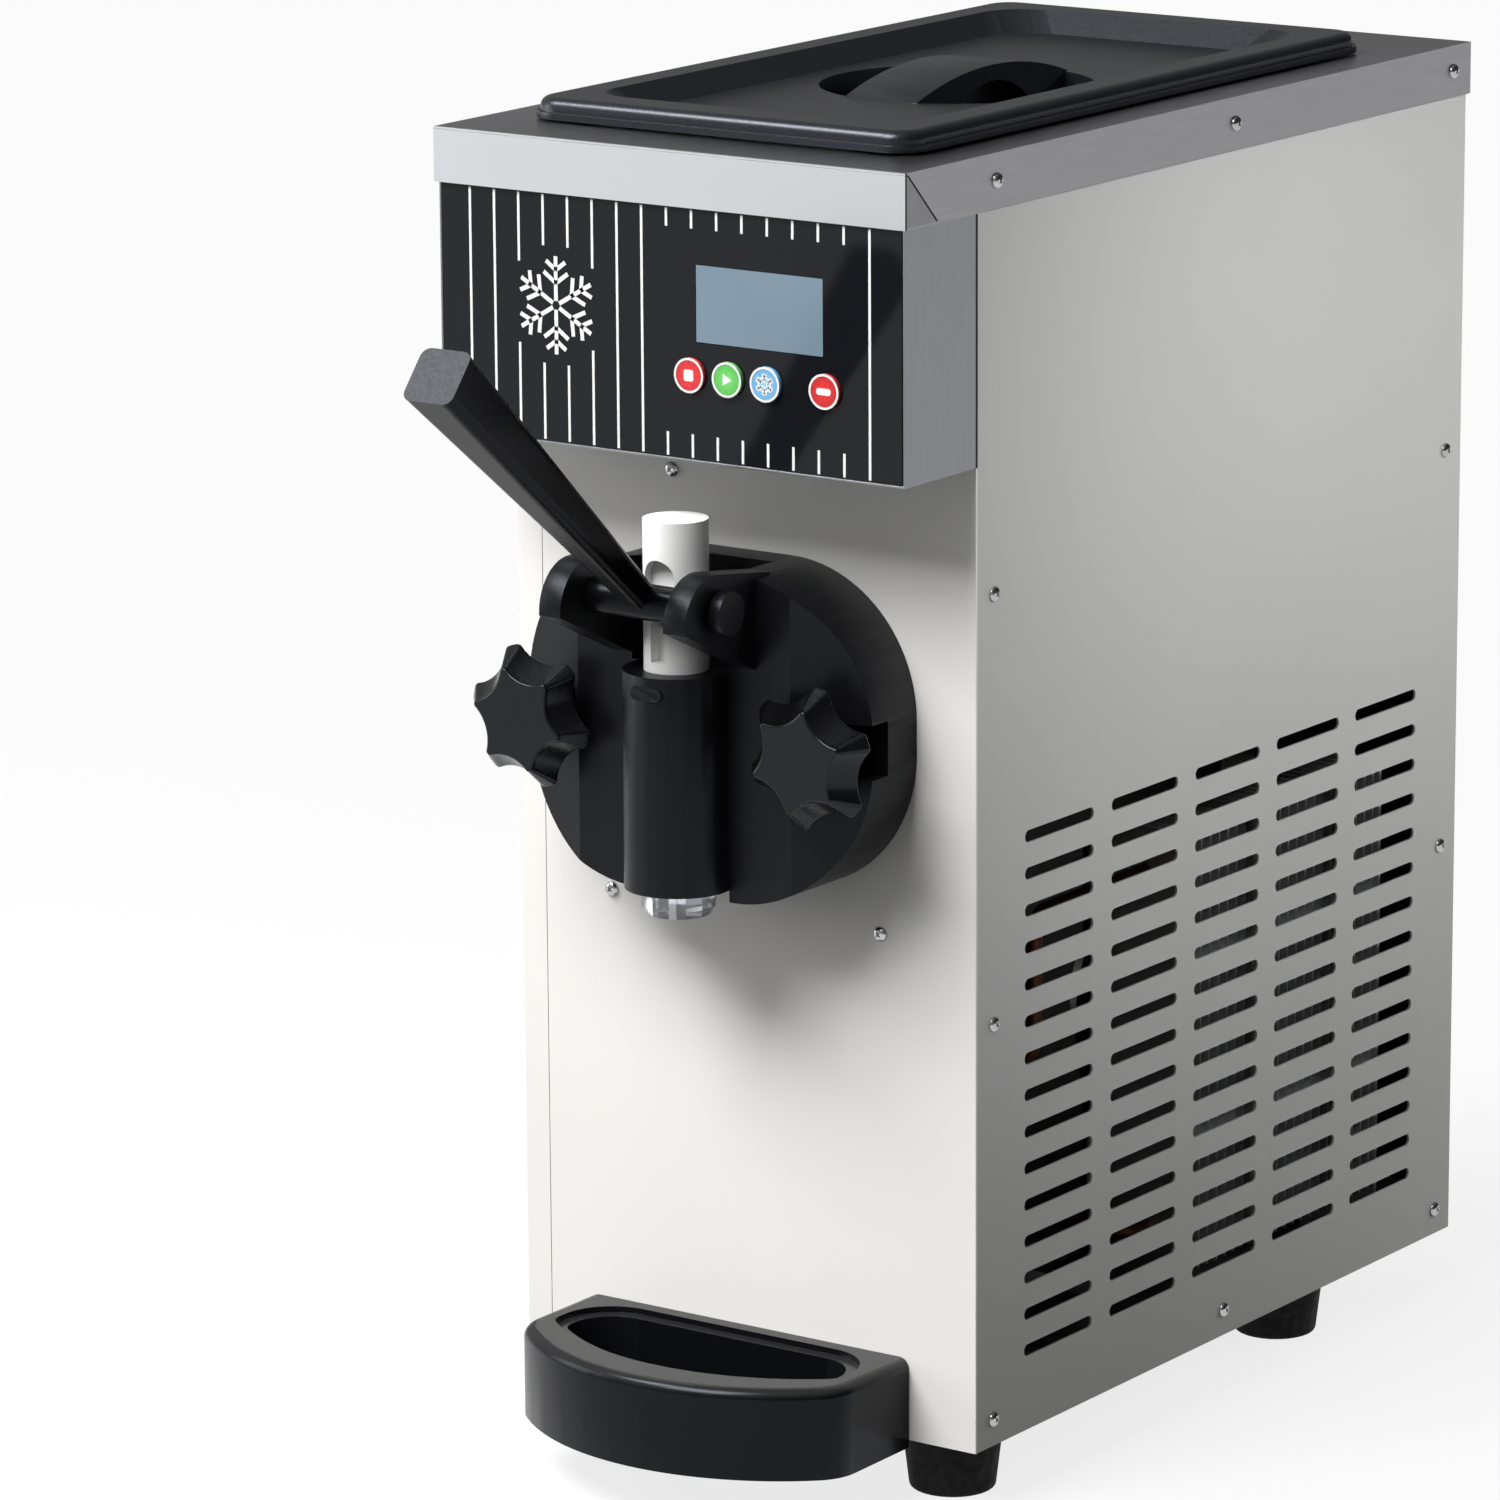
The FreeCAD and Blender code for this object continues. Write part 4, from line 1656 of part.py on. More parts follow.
def refrigerant_lines():
    """The four pipes of the circuit: compressor, condenser, drier, evaporator and back."""
    gap = number("fit_gap")
    bend = number("pipe_bend")
    deep = number("compressor_depth")
    shell_right = number("compressor_radius") - number("compressor_left")
    shell_top = (number("pan_floor") + number("mount_height") + number("compressor_base_wall")
                 + number("compressor_height"))
    coil_x = number("condenser_right") - number("condenser_wall") / 2
    coil_y = number("condenser_start") - gap
    coil_row = number("condenser_height") / number("condenser_tube_rows") / 2
    coil_top = number("condenser_bottom") + number("condenser_height") - coil_row
    coil_low = number("condenser_bottom") + coil_row
    exit_rise = shell_top - 2 * number("compressor_crown")
    pipe("discharge_line", (shell_right + gap, deep, exit_rise), (coil_x, deep, exit_rise),
         (coil_x, deep, coil_top), (coil_x, coil_y, coil_top))
    drier_x = -number("drier_left")
    drier_y = (number("barrel_length") + number("barrel_boss_length") - number("drier_radius") - gap)
    drier_low = number("drier_rise") - gap
    passage = coil_y - 1.5 * bend
    pipe("liquid_line", (coil_x, coil_y, coil_low), (coil_x, passage, coil_low), (drier_x, passage, coil_low),
         (drier_x, drier_y, coil_low), (drier_x, drier_y, drier_low))
    jacket = number("barrel_bore") + number("barrel_wall") + gap + number("jacket_wall") / 2
    port_x = -jacket * math.sqrt(0.5)
    port_z = number("barrel_rise") - jacket * math.sqrt(0.5)
    jacket_end = number("jacket_start") + number("jacket_length") + gap
    pipe("capillary_line", (drier_x, drier_y, number("drier_rise") + number("drier_length") + gap),
         (drier_x, drier_y, port_z), (port_x, drier_y, port_z), (port_x, jacket_end, port_z))
    jacket_front = number("jacket_start") - gap
    level = shell_top + gap + bend + gap
    pipe("suction_line", (port_x, jacket_front, port_z), (port_x, jacket_front - 2.5 * bend, port_z),
         (port_x, jacket_front - 2.5 * bend, level), (port_x, deep, level), (port_x, deep, shell_top + gap))


def power_inlet():
    """Mains inlet in the back: a flange outside, a socket with three pins inside."""
    def inlet_block(name, wide, high, depth):
        return block(name, (f"-inlet_left - ({wide}) / 2", f"-inlet_left + ({wide}) / 2"), depth,
                     (f"inlet_height - ({high}) / 2", f"inlet_height + ({high}) / 2"))
    flange = inlet_block("inlet_flange", "inlet_flange_width", "inlet_flange_height",
                         ("cabinet_depth", "cabinet_depth + inlet_flange_wall"))
    body = inlet_block("inlet_body", "inlet_body_width", "inlet_body_height",
                       ("cabinet_depth - inlet_body_depth", "cabinet_depth + inlet_flange_wall"))
    hollow = inlet_block("inlet_hollow", "inlet_body_width - 2 * inlet_socket_wall",
                         "inlet_body_height - 2 * inlet_socket_wall",
                         ("cabinet_depth - inlet_body_depth + inlet_socket_wall",
                          "cabinet_depth + 2 * inlet_flange_wall"))
    socket = less("inlet_socket", fused("inlet_shell", flange, body), hollow)
    pins = []
    for across, up in ((-1, -1), (0, 1), (1, -1)):
        middle = f"(-inlet_left + {across} * inlet_body_width / 4)"
        rise = f"(inlet_height + {up} * inlet_body_height / 10)"
        pins.append(block(f"inlet_pin_{across}",
                          (f"{middle} - inlet_socket_wall / 2", f"{middle} + inlet_socket_wall / 2"),
                          ("cabinet_depth - inlet_body_depth + inlet_socket_wall / 2",
                           "cabinet_depth - inlet_body_depth + inlet_socket_wall + inlet_pin_length"),
                          (f"{rise} - inlet_socket_wall", f"{rise} + inlet_socket_wall")))
    node(fused("power_inlet", socket, *pins), "power_inlet")


def build():
    """Every piece in turn, from the cabinet to the inside."""
    for piece in (base_pan, front_panel, left_side_panel, right_side_panel, rear_panel, top_cap, panel_screws,
                  rubber_feet, control_box, control_fascia, display_window, display_module, control_board):
        piece()
    for label, reach in BUTTONS.items():
        push_button(label, reach)
    for piece in (hopper_tub, hopper_neck, feed_tube, hopper_lid, freezing_cylinder, cylinder_layers, beater,
                  dispensing_head, head_seal, knob_studs):
        piece()
    star_knob("left_knob", -1, number("left_knob_turn"))
    star_knob("right_knob", 1, number("right_knob_turn"))
    for piece in (draw_lever, lever_pin, valve_plunger, star_nozzle, drip_tray, tray_rails, drive_plate,
                  gearbox_case, gears, belt_and_pulleys, drive_motor, compressor, condenser, fan_shroud, fan,
                  filter_drier, refrigerant_lines, power_inlet):
        piece()


build()
doc.recompute()
for item in doc.Objects:
    if "Invalid" in item.State or "Error" in item.State:
        raise RuntimeError(f"{item.Name} did not build: {item.State}")
os.makedirs("parts", exist_ok=True)
for item in nodes:
    if item.Shape.isNull() or not item.Shape.isValid():
        raise RuntimeError(f"{item.Label} has no sound shape")
    item.Shape.exportStep(f"parts/{item.Label}.step")
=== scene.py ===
"""Looks of a countertop soft-serve machine: cabinet, hopper lid, dispensing head, drip tray and works."""
import logging
import math
from dataclasses import dataclass
from enum import Enum
from typing import Sequence

import bmesh
import bpy
from mathutils import Matrix, Vector


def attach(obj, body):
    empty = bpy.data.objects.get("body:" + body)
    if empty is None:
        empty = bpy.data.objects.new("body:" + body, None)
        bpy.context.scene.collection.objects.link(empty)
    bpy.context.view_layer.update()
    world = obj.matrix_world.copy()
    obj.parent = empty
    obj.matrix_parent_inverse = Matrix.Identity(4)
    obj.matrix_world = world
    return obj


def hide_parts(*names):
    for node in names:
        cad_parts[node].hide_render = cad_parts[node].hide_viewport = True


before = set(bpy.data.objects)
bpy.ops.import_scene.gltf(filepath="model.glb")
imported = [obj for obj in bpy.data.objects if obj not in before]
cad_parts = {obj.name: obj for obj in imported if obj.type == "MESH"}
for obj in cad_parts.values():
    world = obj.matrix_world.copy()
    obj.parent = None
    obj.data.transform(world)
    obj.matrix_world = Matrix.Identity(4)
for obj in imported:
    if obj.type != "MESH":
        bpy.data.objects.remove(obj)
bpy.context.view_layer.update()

MM = 0.001
log = logging.getLogger("ice_cream_maker")

Colour = tuple[float, float, float]
Point = tuple[float, float, float]
Span = tuple[float, float]
Form = bmesh.types.BMesh
Socket = bpy.types.NodeSocket
Tree = bpy.types.NodeTree
Setting = float | Sequence[float] | Socket
Inputs = dict[int | str, Setting]

GRAIN_SPAN: Span = (0.3, 0.7)
INSIDE_SPAN: Span = (-0.7, -0.2)
WHOLE_SPAN: Span = (0.0, 1.0)
SAME_PLACE = 1e-6
BREAK_STEPS = 3
BREAK_ANGLE = math.radians(40.0)
CRISP_ANGLE = math.radians(50.0)


class Way(Enum):
    """The direction that a brushed or drawn surface was worked in."""

    LEVEL = (0.02, 0.02, 1.0)
    LENGTHWISE = (1.0, 0.02, 1.0)
    UPWARD = (1.0, 1.0, 0.02)
    EVEN = (1.0, 1.0, 1.0)


class Body(Enum):
    """The bodies that the added pieces ride on."""

    CABINET = "cabinet"
    STOP = "stop_button"
    RUN = "run_button"
    CHILL = "chill_button"
    CLEAN = "clean_button"


def emptied(owner: bpy.types.ID) -> Tree:
    """Give a material or a world an empty node tree."""
    owner.use_nodes = True
    owner.node_tree.nodes.clear()
    return owner.node_tree


def settle(tree: Tree, socket: Socket, value: Setting) -> None:
    """Join a socket to another one or give it a fixed value.

    Args:
        tree: The node tree.
        socket: The socket.
        value: The other socket, or the value; a colour has three channels.
    """
    if isinstance(value, Socket):
        tree.links.new(value, socket)
    else:
        socket.default_value = (*value, 1.0) if socket.type == "RGBA" else value


def added(tree: Tree, kind: str, inputs: Inputs | None = None, **modes: str) -> bpy.types.Node:
    """Add a node.

    Args:
        tree: The node tree.
        kind: The node's kind.
        inputs: What its sockets are joined to or set to.
        modes: The modes that it works in.

    Returns:
        The node.
    """
    node = tree.nodes.new(f"ShaderNode{kind}")
    for name, mode in modes.items():
        setattr(node, name, mode)
    for key, value in (inputs or {}).items():
        settle(tree, node.inputs[key], value)
    return node


def remapped(tree: Tree, value: Socket, source: Span, target: Span = WHOLE_SPAN) -> Socket:
    """Carry one range of a value over to another.

    Args:
        tree: The node tree.
        value: The value.
        source: The range that it is taken from.
        target: The range that it is carried to.

    Returns:
        The carried value, kept inside the target range.
    """
    ends = {"From Min": source[0], "From Max": source[1], "To Min": target[0], "To Max": target[1]}
    return added(tree, "MapRange", {"Value": value, **ends}).outputs["Result"]


class Palette:
    """The node tree of one finish, with short ways to add its nodes."""

    def __init__(self, name: str) -> None:
        """Start an empty material.

        Args:
            name: The material's name.
        """
        self.material = bpy.data.materials.new(name)
        self.tree = emptied(self.material)
        self.shader = self.add("BsdfPrincipled")
        self.add("OutputMaterial", {"Surface": self.shader.outputs["BSDF"]})
        self.place = self.add("TexCoord").outputs["Object"]

    def add(self, kind: str, inputs: Inputs | None = None, **modes: str) -> bpy.types.Node:
        """Add a node to the finish's tree, as the function added does."""
        return added(self.tree, kind, inputs, **modes)

    def fix(self, **values: Setting) -> None:
        """Set the shader's sockets.

        Args:
            values: The sockets' names, with underscores for spaces, and what they are joined to or set to.
        """
        for name, value in values.items():
            settle(self.tree, self.shader.inputs[name.replace("_", " ")], value)

    def stretched(self, stretch: Point) -> Socket:
        """Scale the surface's own coordinates by a factor along each axis."""
        return self.add("Mapping", {"Scale": stretch, "Vector": self.place}).outputs["Vector"]

    def grain(self, scale: float, detail: float = 3.0, stretch: Point = Way.EVEN.value) -> Socket:
        """Add a cloudy grain.

        Args:
            scale: Grains per metre.
            detail: How many finer layers it has.
            stretch: How far it is drawn out along each axis.

        Returns:
            A value about 0.5.
        """
        place = self.stretched(stretch)
        return self.add("TexNoise", {"Scale": scale, "Detail": detail, "Vector": place}).outputs["Fac"]

    def pebbles(self, scale: float) -> Socket:
        """Add the cells of a spark-eroded mould or a foam, so many per metre."""
        return self.add("TexVoronoi", {"Scale": scale, "Vector": self.place}).outputs["Distance"]

    def toward(self, way: Point) -> Socket:
        """Tell how squarely the surface faces one way, from -1 where it faces the opposite to 1."""
        normal = self.add("TexCoord").outputs["Normal"]
        return self.add("VectorMath", {0: normal, 1: way}, operation="DOT_PRODUCT").outputs["Value"]

    def facing(self, way: Point) -> Socket:
        """Tell how squarely the surface faces one way or its opposite, from 0 where it is side on to 1."""
        return self.add("Math", {0: self.toward(way)}, operation="ABSOLUTE").outputs[0]

    def backed(self, out: Point, inside: Colour) -> None:
        """Give a sheet another colour on its inside, used as painted shade.

        Args:
            out: The way that its outside faces.
            inside: The colour painted on its inside as shade.
        """
        outside = self.shader.inputs["Base Color"].links[0].from_socket
        share = remapped(self.tree, self.toward(out), INSIDE_SPAN)
        mix = self.add("Mix", {0: share, 6: inside, 7: outside}, data_type="RGBA")
        self.fix(Base_Color=mix.outputs[2])

    def blended(self, value: Socket, other: Socket, share: float) -> Socket:
        """Lay a little of one grain over another.

        Args:
            value: The main value.
            other: The grain that is laid over it, about 0.5.
            share: How much of the grain shows.

        Returns:
            The blended value.
        """
        return self.add("Math", {0: other, 1: share, 2: value}, operation="MULTIPLY_ADD").outputs[0]

    def chosen(self, share: Socket, value: Socket, other: Socket) -> Socket:
        """Change from one grain to another over the surface.

        Args:
            share: 0 where the first shows and 1 where the other does.
            value: The first grain.
            other: The other grain.

        Returns:
            The grain that shows.
        """
        return self.add("Mix", {0: share, 2: value, 3: other}).outputs[0]

    def paint(self, value: Socket, first: Colour, second: Colour) -> None:
        """Colour the surface between two tones.

        Args:
            value: The grain that chooses between them.
            first: The tone at the grain's low end.
            second: The tone at its high end.
        """
        ramp = self.add("ValToRGB", {"Fac": value})
        low, high = ramp.color_ramp.elements
        low.position, high.position = GRAIN_SPAN
        low.color, high.color = (*first, 1.0), (*second, 1.0)
        self.fix(Base_Color=ramp.outputs["Color"])

    def gloss(self, value: Socket, low: float, high: float) -> None:
        """Vary the roughness between two values by a grain."""
        self.fix(Roughness=remapped(self.tree, value, GRAIN_SPAN, (low, high)))

    def relief(self, value: Socket, strength: float, depth: float) -> None:
        """Raise the grain on the surface.

        Args:
            value: The grain's height.
            strength: How much of it shows, from 0 to 1.
            depth: Its depth in metres.
        """
        bump = self.add("Bump", {"Strength": strength, "Distance": depth, "Height": value})
        self.fix(Normal=bump.outputs["Normal"])


def tinted(colour: Colour, factor: float) -> Colour:
    """Lighten or darken a colour by a factor."""
    return tuple(min(1.0, channel * factor) for channel in colour)


@dataclass(frozen=True)
class Finish:
    """A surface finish."""

    name: str
    colour: Colour

    def made(self) -> bpy.types.Material:
        """Give the finish's material, made on its first use."""
        known = bpy.data.materials.get(self.name)
        if known is not None:
            return known
        palette = Palette(self.name)
        self.work(palette)
        return palette.material

    def work(self, palette: Palette) -> None:
        """Lay the finish's nodes out; each finish has its own way."""
        raise NotImplementedError


@dataclass(frozen=True)
class PowderCoat(Finish):
    """Baked paint on sheet metal: a fine orange peel and faint clouds."""

    peel: float = 900.0
    rough: float = 0.4
    shine: float = 0.42

    def work(self, palette: Palette) -> None:
        """Lay out clouds, sheen and peel."""
        palette.paint(palette.grain(5.0, 4.0), tinted(self.colour, 0.965), tinted(self.colour, 1.015))
        peel = palette.grain(self.peel, 2.0)
        palette.gloss(peel, self.rough - 0.06, self.rough + 0.08)
        palette.relief(peel, 0.12, 0.00012)
        palette.fix(Specular_IOR_Level=self.shine)


@dataclass(frozen=True)
class PanelCoat(PowderCoat):
    """Baked paint on a panel's outside; its inside is painted near-black as the shade inside the cabinet."""

    out: Point = (1.0, 0.0, 0.0)
    # The near-black inside is painted shade of the cabinet's dark inside.
    inside: Colour = (0.03, 0.031, 0.032)

    def work(self, palette: Palette) -> None:
        """Lay out the paint and the painted shade behind it."""
        super().work(palette)
        palette.backed(self.out, self.inside)


@dataclass(frozen=True)
class BrushedSteel(Finish):
    """Stainless sheet with fine lines along one direction."""

    way: Way = Way.LEVEL
    rough: float = 0.3

    def work(self, palette: Palette) -> None:
        """Lay out the brushed lines and the clouds of the sheet."""
        lines = self.brushed(palette, 3400.0, 2.0)
        self.tone(palette)
        palette.gloss(lines, self.rough - 0.04, self.rough + 0.06)
        palette.relief(lines, 0.05, 0.00004)
        palette.fix(Metallic=1.0, Anisotropic=0.35)

    def tone(self, palette: Palette) -> None:
        """Colour the sheet in faint lines."""
        palette.paint(self.brushed(palette, 900.0, 3.0), tinted(self.colour, 0.95), tinted(self.colour, 1.04))

    def brushed(self, palette: Palette, scale: float, detail: float) -> Socket:
        """Add the lines that the brushing left, so many per metre and with so many finer layers."""
        return palette.grain(scale, detail, self.way.value)


@dataclass(frozen=True)
class SkirtHighlightSteel(BrushedSteel):
    """Brushed sheet whose front and rear skirt are painted lighter than its top and sides: a painted
    highlight on the skirt.
    """

    # The front tone is a painted highlight on the front and rear skirt.
    front: Colour = (0.7, 0.705, 0.74)

    def tone(self, palette: Palette) -> None:
        """Colour the sheet in faint lines, with a painted highlight on its front and rear skirt."""
        tone = palette.blended(palette.facing((0.0, 1.0, 0.0)), self.brushed(palette, 900.0, 3.0), 0.08)
        palette.paint(tone, self.colour, self.front)

    def brushed(self, palette: Palette, scale: float, detail: float) -> Socket:
        """Add lines that run round the skirt and along the top."""
        top = palette.grain(scale, detail, Way.LENGTHWISE.value)
        return palette.chosen(palette.facing((0.0, 0.0, 1.0)), super().brushed(palette, scale, detail), top)


@dataclass(frozen=True)
class GlossPanel(Finish):
    """Back-printed gloss film: nearly a mirror, with faint wipe marks."""

    def work(self, palette: Palette) -> None:
        """Lay out the wipe marks."""
        wipes = palette.grain(24.0, 5.0, (1.0, 1.0, 0.3))
        palette.paint(wipes, tinted(self.colour, 0.92), tinted(self.colour, 1.1))
        palette.gloss(wipes, 0.06, 0.12)
        palette.relief(palette.grain(60.0, 1.0), 0.03, 0.0002)
        palette.fix(Specular_IOR_Level=0.2)


@dataclass(frozen=True)
class Moulding(Finish):
    """Moulded plastic with an eroded grain and faint flow marks."""

    grain: float = 1500.0
    rough: float = 0.36
    depth: float = 0.00006
    shine: float = 0.2
    sheen: Colour = (0.84, 0.88, 1.0)

    def work(self, palette: Palette) -> None:
        """Lay out the flow marks and the mould's grain."""
        self.tone(palette)
        palette.gloss(palette.grain(700.0, 3.0), self.rough - 0.03, self.rough + 0.05)
        palette.relief(palette.pebbles(self.grain), 0.14, self.depth)
        palette.fix(Specular_IOR_Level=self.shine, Specular_Tint=self.sheen)

    def tone(self, palette: Palette) -> None:
        """Colour the plastic in faint flow marks."""
        palette.paint(palette.grain(11.0, 3.0), tinted(self.colour, 0.94), tinted(self.colour, 1.07))


@dataclass(frozen=True)
class TopSheenMoulding(Moulding):
    """Moulded plastic whose upward faces are painted paler: a painted sheen of the light from above."""

    # The paler tone is a painted sheen on the upward faces.
    top_sheen: Colour = (0.018, 0.018, 0.019)

    def tone(self, palette: Palette) -> None:
        """Colour the plastic, with a painted sheen on its upward faces."""
        top_sheen_share = palette.blended(palette.facing((0.0, 0.0, 1.0)), palette.grain(60.0, 4.0), 0.1)
        palette.paint(top_sheen_share, self.colour, self.top_sheen)


@dataclass(frozen=True)
class ClearMoulding(Finish):
    """Clear plastic with a faint haze."""

    def work(self, palette: Palette) -> None:
        """Lay out the haze and the flow marks."""
        haze = palette.grain(220.0, 3.0)
        palette.paint(haze, tinted(self.colour, 0.95), self.colour)
        palette.gloss(haze, 0.06, 0.14)
        palette.relief(palette.grain(60.0, 1.0), 0.05, 0.0002)
        palette.fix(Transmission_Weight=0.9, IOR=1.49)


@dataclass(frozen=True)
class Rubber(Finish):
    """Dull rubber with a dusty bloom."""

    def work(self, palette: Palette) -> None:
        """Lay out the bloom and the skin."""
        palette.paint(palette.grain(60.0, 5.0), self.colour, tinted(self.colour, 1.8))
        palette.gloss(palette.grain(300.0), 0.68, 0.88)
        palette.relief(palette.grain(1600.0, 3.0), 0.25, 0.0001)
        palette.fix(Specular_IOR_Level=0.25)


@dataclass(frozen=True)
class BareMetal(Finish):
    """Plain, cast, drawn or turned metal."""

    rough: float = 0.35
    cast: float = 0.0
    way: Way = Way.EVEN

    def work(self, palette: Palette) -> None:
        """Lay out the tarnish and the worked or cast surface."""
        tarnish = palette.grain(45.0, 5.0, self.way.value)
        palette.paint(tarnish, tinted(self.colour, 0.82), tinted(self.colour, 1.06))
        palette.gloss(palette.grain(260.0, 4.0, self.way.value), self.rough - 0.08, self.rough + 0.12)
        if self.cast:
            palette.relief(palette.grain(700.0, 4.0), self.cast, 0.0003)
        else:
            palette.relief(palette.grain(1800.0, 2.0, self.way.value), 0.08, 0.00005)
        palette.fix(Metallic=1.0)


@dataclass(frozen=True)
class BlownFoam(Finish):
    """Cut insulating foam with open cells."""

    def work(self, palette: Palette) -> None:
        """Lay out the cells."""
        cells = palette.pebbles(650.0)
        palette.paint(palette.grain(30.0, 4.0), tinted(self.colour, 0.85), tinted(self.colour, 1.05))
        palette.gloss(cells, 0.8, 0.95)
        palette.relief(cells, 0.7, 0.0006)


@dataclass(frozen=True)
class CircuitBoard(Finish):
    """Lacquered board with copper tracks under the lacquer."""

    def work(self, palette: Palette) -> None:
        """Lay out the tracks."""
        bricks = {"Scale": 90.0, "Mortar Size": 0.06, "Vector": palette.place}
        tracks = palette.add("TexBrick", bricks).outputs["Fac"]
        palette.paint(tracks, self.colour, tinted(self.colour, 1.9))
        palette.gloss(palette.grain(150.0), 0.22, 0.36)
        palette.relief(tracks, 0.3, 0.00008)


@dataclass(frozen=True)
class BacklitCrystal(Finish):
    """Display glass painted a pale blue-grey as its backlight, with fine pixel rows."""

    def work(self, palette: Palette) -> None:
        """Lay out the rows and the painted uneven backlight."""
        rows = palette.add("TexWave", {"Scale": 420.0, "Vector": palette.place}, bands_direction="Z")
        palette.paint(palette.grain(18.0, 2.0), tinted(self.colour, 0.94), tinted(self.colour, 1.05))
        palette.gloss(palette.grain(90.0), 0.12, 0.22)
        palette.relief(rows.outputs["Fac"], 0.05, 0.00004)


@dataclass(frozen=True)
class PrintedInk(Finish):
    """Screen-printed ink: thin, matt and slightly uneven."""

    def work(self, palette: Palette) -> None:
        """Lay out the uneven cover of the ink."""
        palette.paint(palette.grain(500.0, 3.0), tinted(self.colour, 0.9), tinted(self.colour, 1.04))
        palette.gloss(palette.grain(900.0), 0.45, 0.6)
        palette.relief(palette.grain(1500.0), 0.1, 0.00002)


@dataclass(frozen=True)
class KeyCap(Finish):
    """A translucent coloured key, lighter towards its middle."""

    middle: Point = (0.0, 0.0, 0.0)
    reach: float = 0.0068

    def work(self, palette: Palette) -> None:
        """Lay out the glow from the middle and the moulded skin."""
        away = palette.add("VectorMath", {0: palette.place, 1: self.middle}, operation="DISTANCE")
        glow = remapped(palette.tree, away.outputs["Value"], (0.0, self.reach), GRAIN_SPAN)
        palette.paint(glow, tinted(self.colour, 1.35), tinted(self.colour, 0.8))
        skin = palette.grain(700.0, 3.0)
        palette.gloss(skin, 0.24, 0.36)
        palette.relief(skin, 0.1, 0.00005)


WHITE: Colour = (0.86, 0.85, 0.815)
# The right and rear panels' pale grey is painted shade of the sides turned from the lamps; the front and left
# panels are white.
SHADE_GREY: Colour = (0.56, 0.56, 0.55)
FRONT_PAINT = PanelCoat("white_front_coat", WHITE, out=(0.0, -1.0, 0.0))
LEFT_PAINT = PanelCoat("white_side_coat", WHITE, out=(-1.0, 0.0, 0.0))
SIDE_PAINT = PanelCoat("shade_grey_side_coat", SHADE_GREY, 900.0, 0.46, 0.12, (1.0, 0.0, 0.0))
REAR_PAINT = PanelCoat("shade_grey_rear_coat", SHADE_GREY, 900.0, 0.46, 0.12, (0.0, 1.0, 0.0))
GREY_PAINT = PowderCoat("grey_primer", (0.12, 0.122, 0.125), 700.0, 0.5)
# Black enamel on the compressor; on the drive plate it is painted shade.
BLACK_ENAMEL_AND_SHADE = PowderCoat("black_enamel_and_shade", (0.012, 0.012, 0.013), 500.0, 0.36)
CAP_STEEL = SkirtHighlightSteel("brushed_cap_steel", (0.3, 0.3, 0.315), Way.LEVEL, 0.32)
# The laps' darker tone is painted shade of the folded facets; their upright brushing is their own.
SHADED_FOLD_STEEL = BrushedSteel("brushed_shaded_fold_steel", (0.25, 0.25, 0.263), Way.UPWARD, 0.36)
# The edge strip's pale tone is a painted highlight.
HIGHLIGHT_EDGE_STEEL = BrushedSteel("painted_highlight_edge_steel", (0.85, 0.855, 0.88), Way.LEVEL, 0.24)
BOX_STEEL = BrushedSteel("brushed_box_steel", (0.27, 0.275, 0.29), Way.UPWARD, 0.36)
INNER_STEEL = BrushedSteel("brushed_tub_steel", (0.5, 0.5, 0.51), Way.EVEN, 0.36)
PLAIN_STEEL = BareMetal("zinc_plated_steel", (0.4, 0.4, 0.4), 0.42)
BRIGHT_STEEL = BareMetal("bright_screw_steel", (0.5, 0.5, 0.51), 0.16)
GEAR_STEEL = BareMetal("hobbed_gear_steel", (0.42, 0.42, 0.43), 0.32)
CAST_ALLOY = BareMetal("cast_alloy", (0.5, 0.51, 0.52), 0.45, 0.35)
FIN_ALLOY = BareMetal("fin_alloy", (0.2, 0.205, 0.21), 0.45, 0.0, Way.UPWARD)
# The copper is darkened far below bright copper as painted shade inside the cabinet.
SHADE_DARK_COPPER = BareMetal("shade_dark_drawn_copper", (0.14, 0.058, 0.032), 0.5)
FASCIA_BLACK = GlossPanel("gloss_fascia", (0.0075, 0.008, 0.0105))
BLACK_PLASTIC = Moulding("black_moulding", (0.004, 0.004, 0.0048))
KNOB_PLASTIC = Moulding("knob_moulding", (0.0035, 0.0035, 0.0043), 2600.0, 0.24, 0.000008, 0.3)
LID_PLASTIC = Moulding("lid_moulding", (0.007, 0.0073, 0.0095), 1500.0, 0.3, 0.000015, 0.54)
LEVER_PLASTIC = Moulding("lever_moulding", (0.002, 0.002, 0.0026), 2600.0, 0.24, 0.00001, 0.12)
# The tray's upward faces carry a painted sheen.
TRAY_PLASTIC = TopSheenMoulding("tray_moulding", (0.0045, 0.0048, 0.0062), 2600.0, 0.2, 0.000006, 0.17)
WHITE_PLASTIC = Moulding("white_moulding", (0.88, 0.88, 0.87), 1800.0, 0.36, 0.00004, 0.45, (1.0, 1.0, 1.0))
GEAR_NYLON = Moulding("gear_nylon", (0.62, 0.58, 0.48), 1200.0, 0.4, 0.00005, 0.45, (1.0, 1.0, 1.0))
CLEAR_PLASTIC = ClearMoulding("clear_moulding", (0.93, 0.95, 1.0))
RUBBER_BLACK = Rubber("black_rubber", (0.003, 0.003, 0.003))
SEAL_RUBBER = Rubber("red_seal_rubber", (0.3, 0.06, 0.045))
FOAM = BlownFoam("insulating_foam", (0.62, 0.56, 0.4))
BOARD = CircuitBoard("board_lacquer", (0.012, 0.1, 0.045))
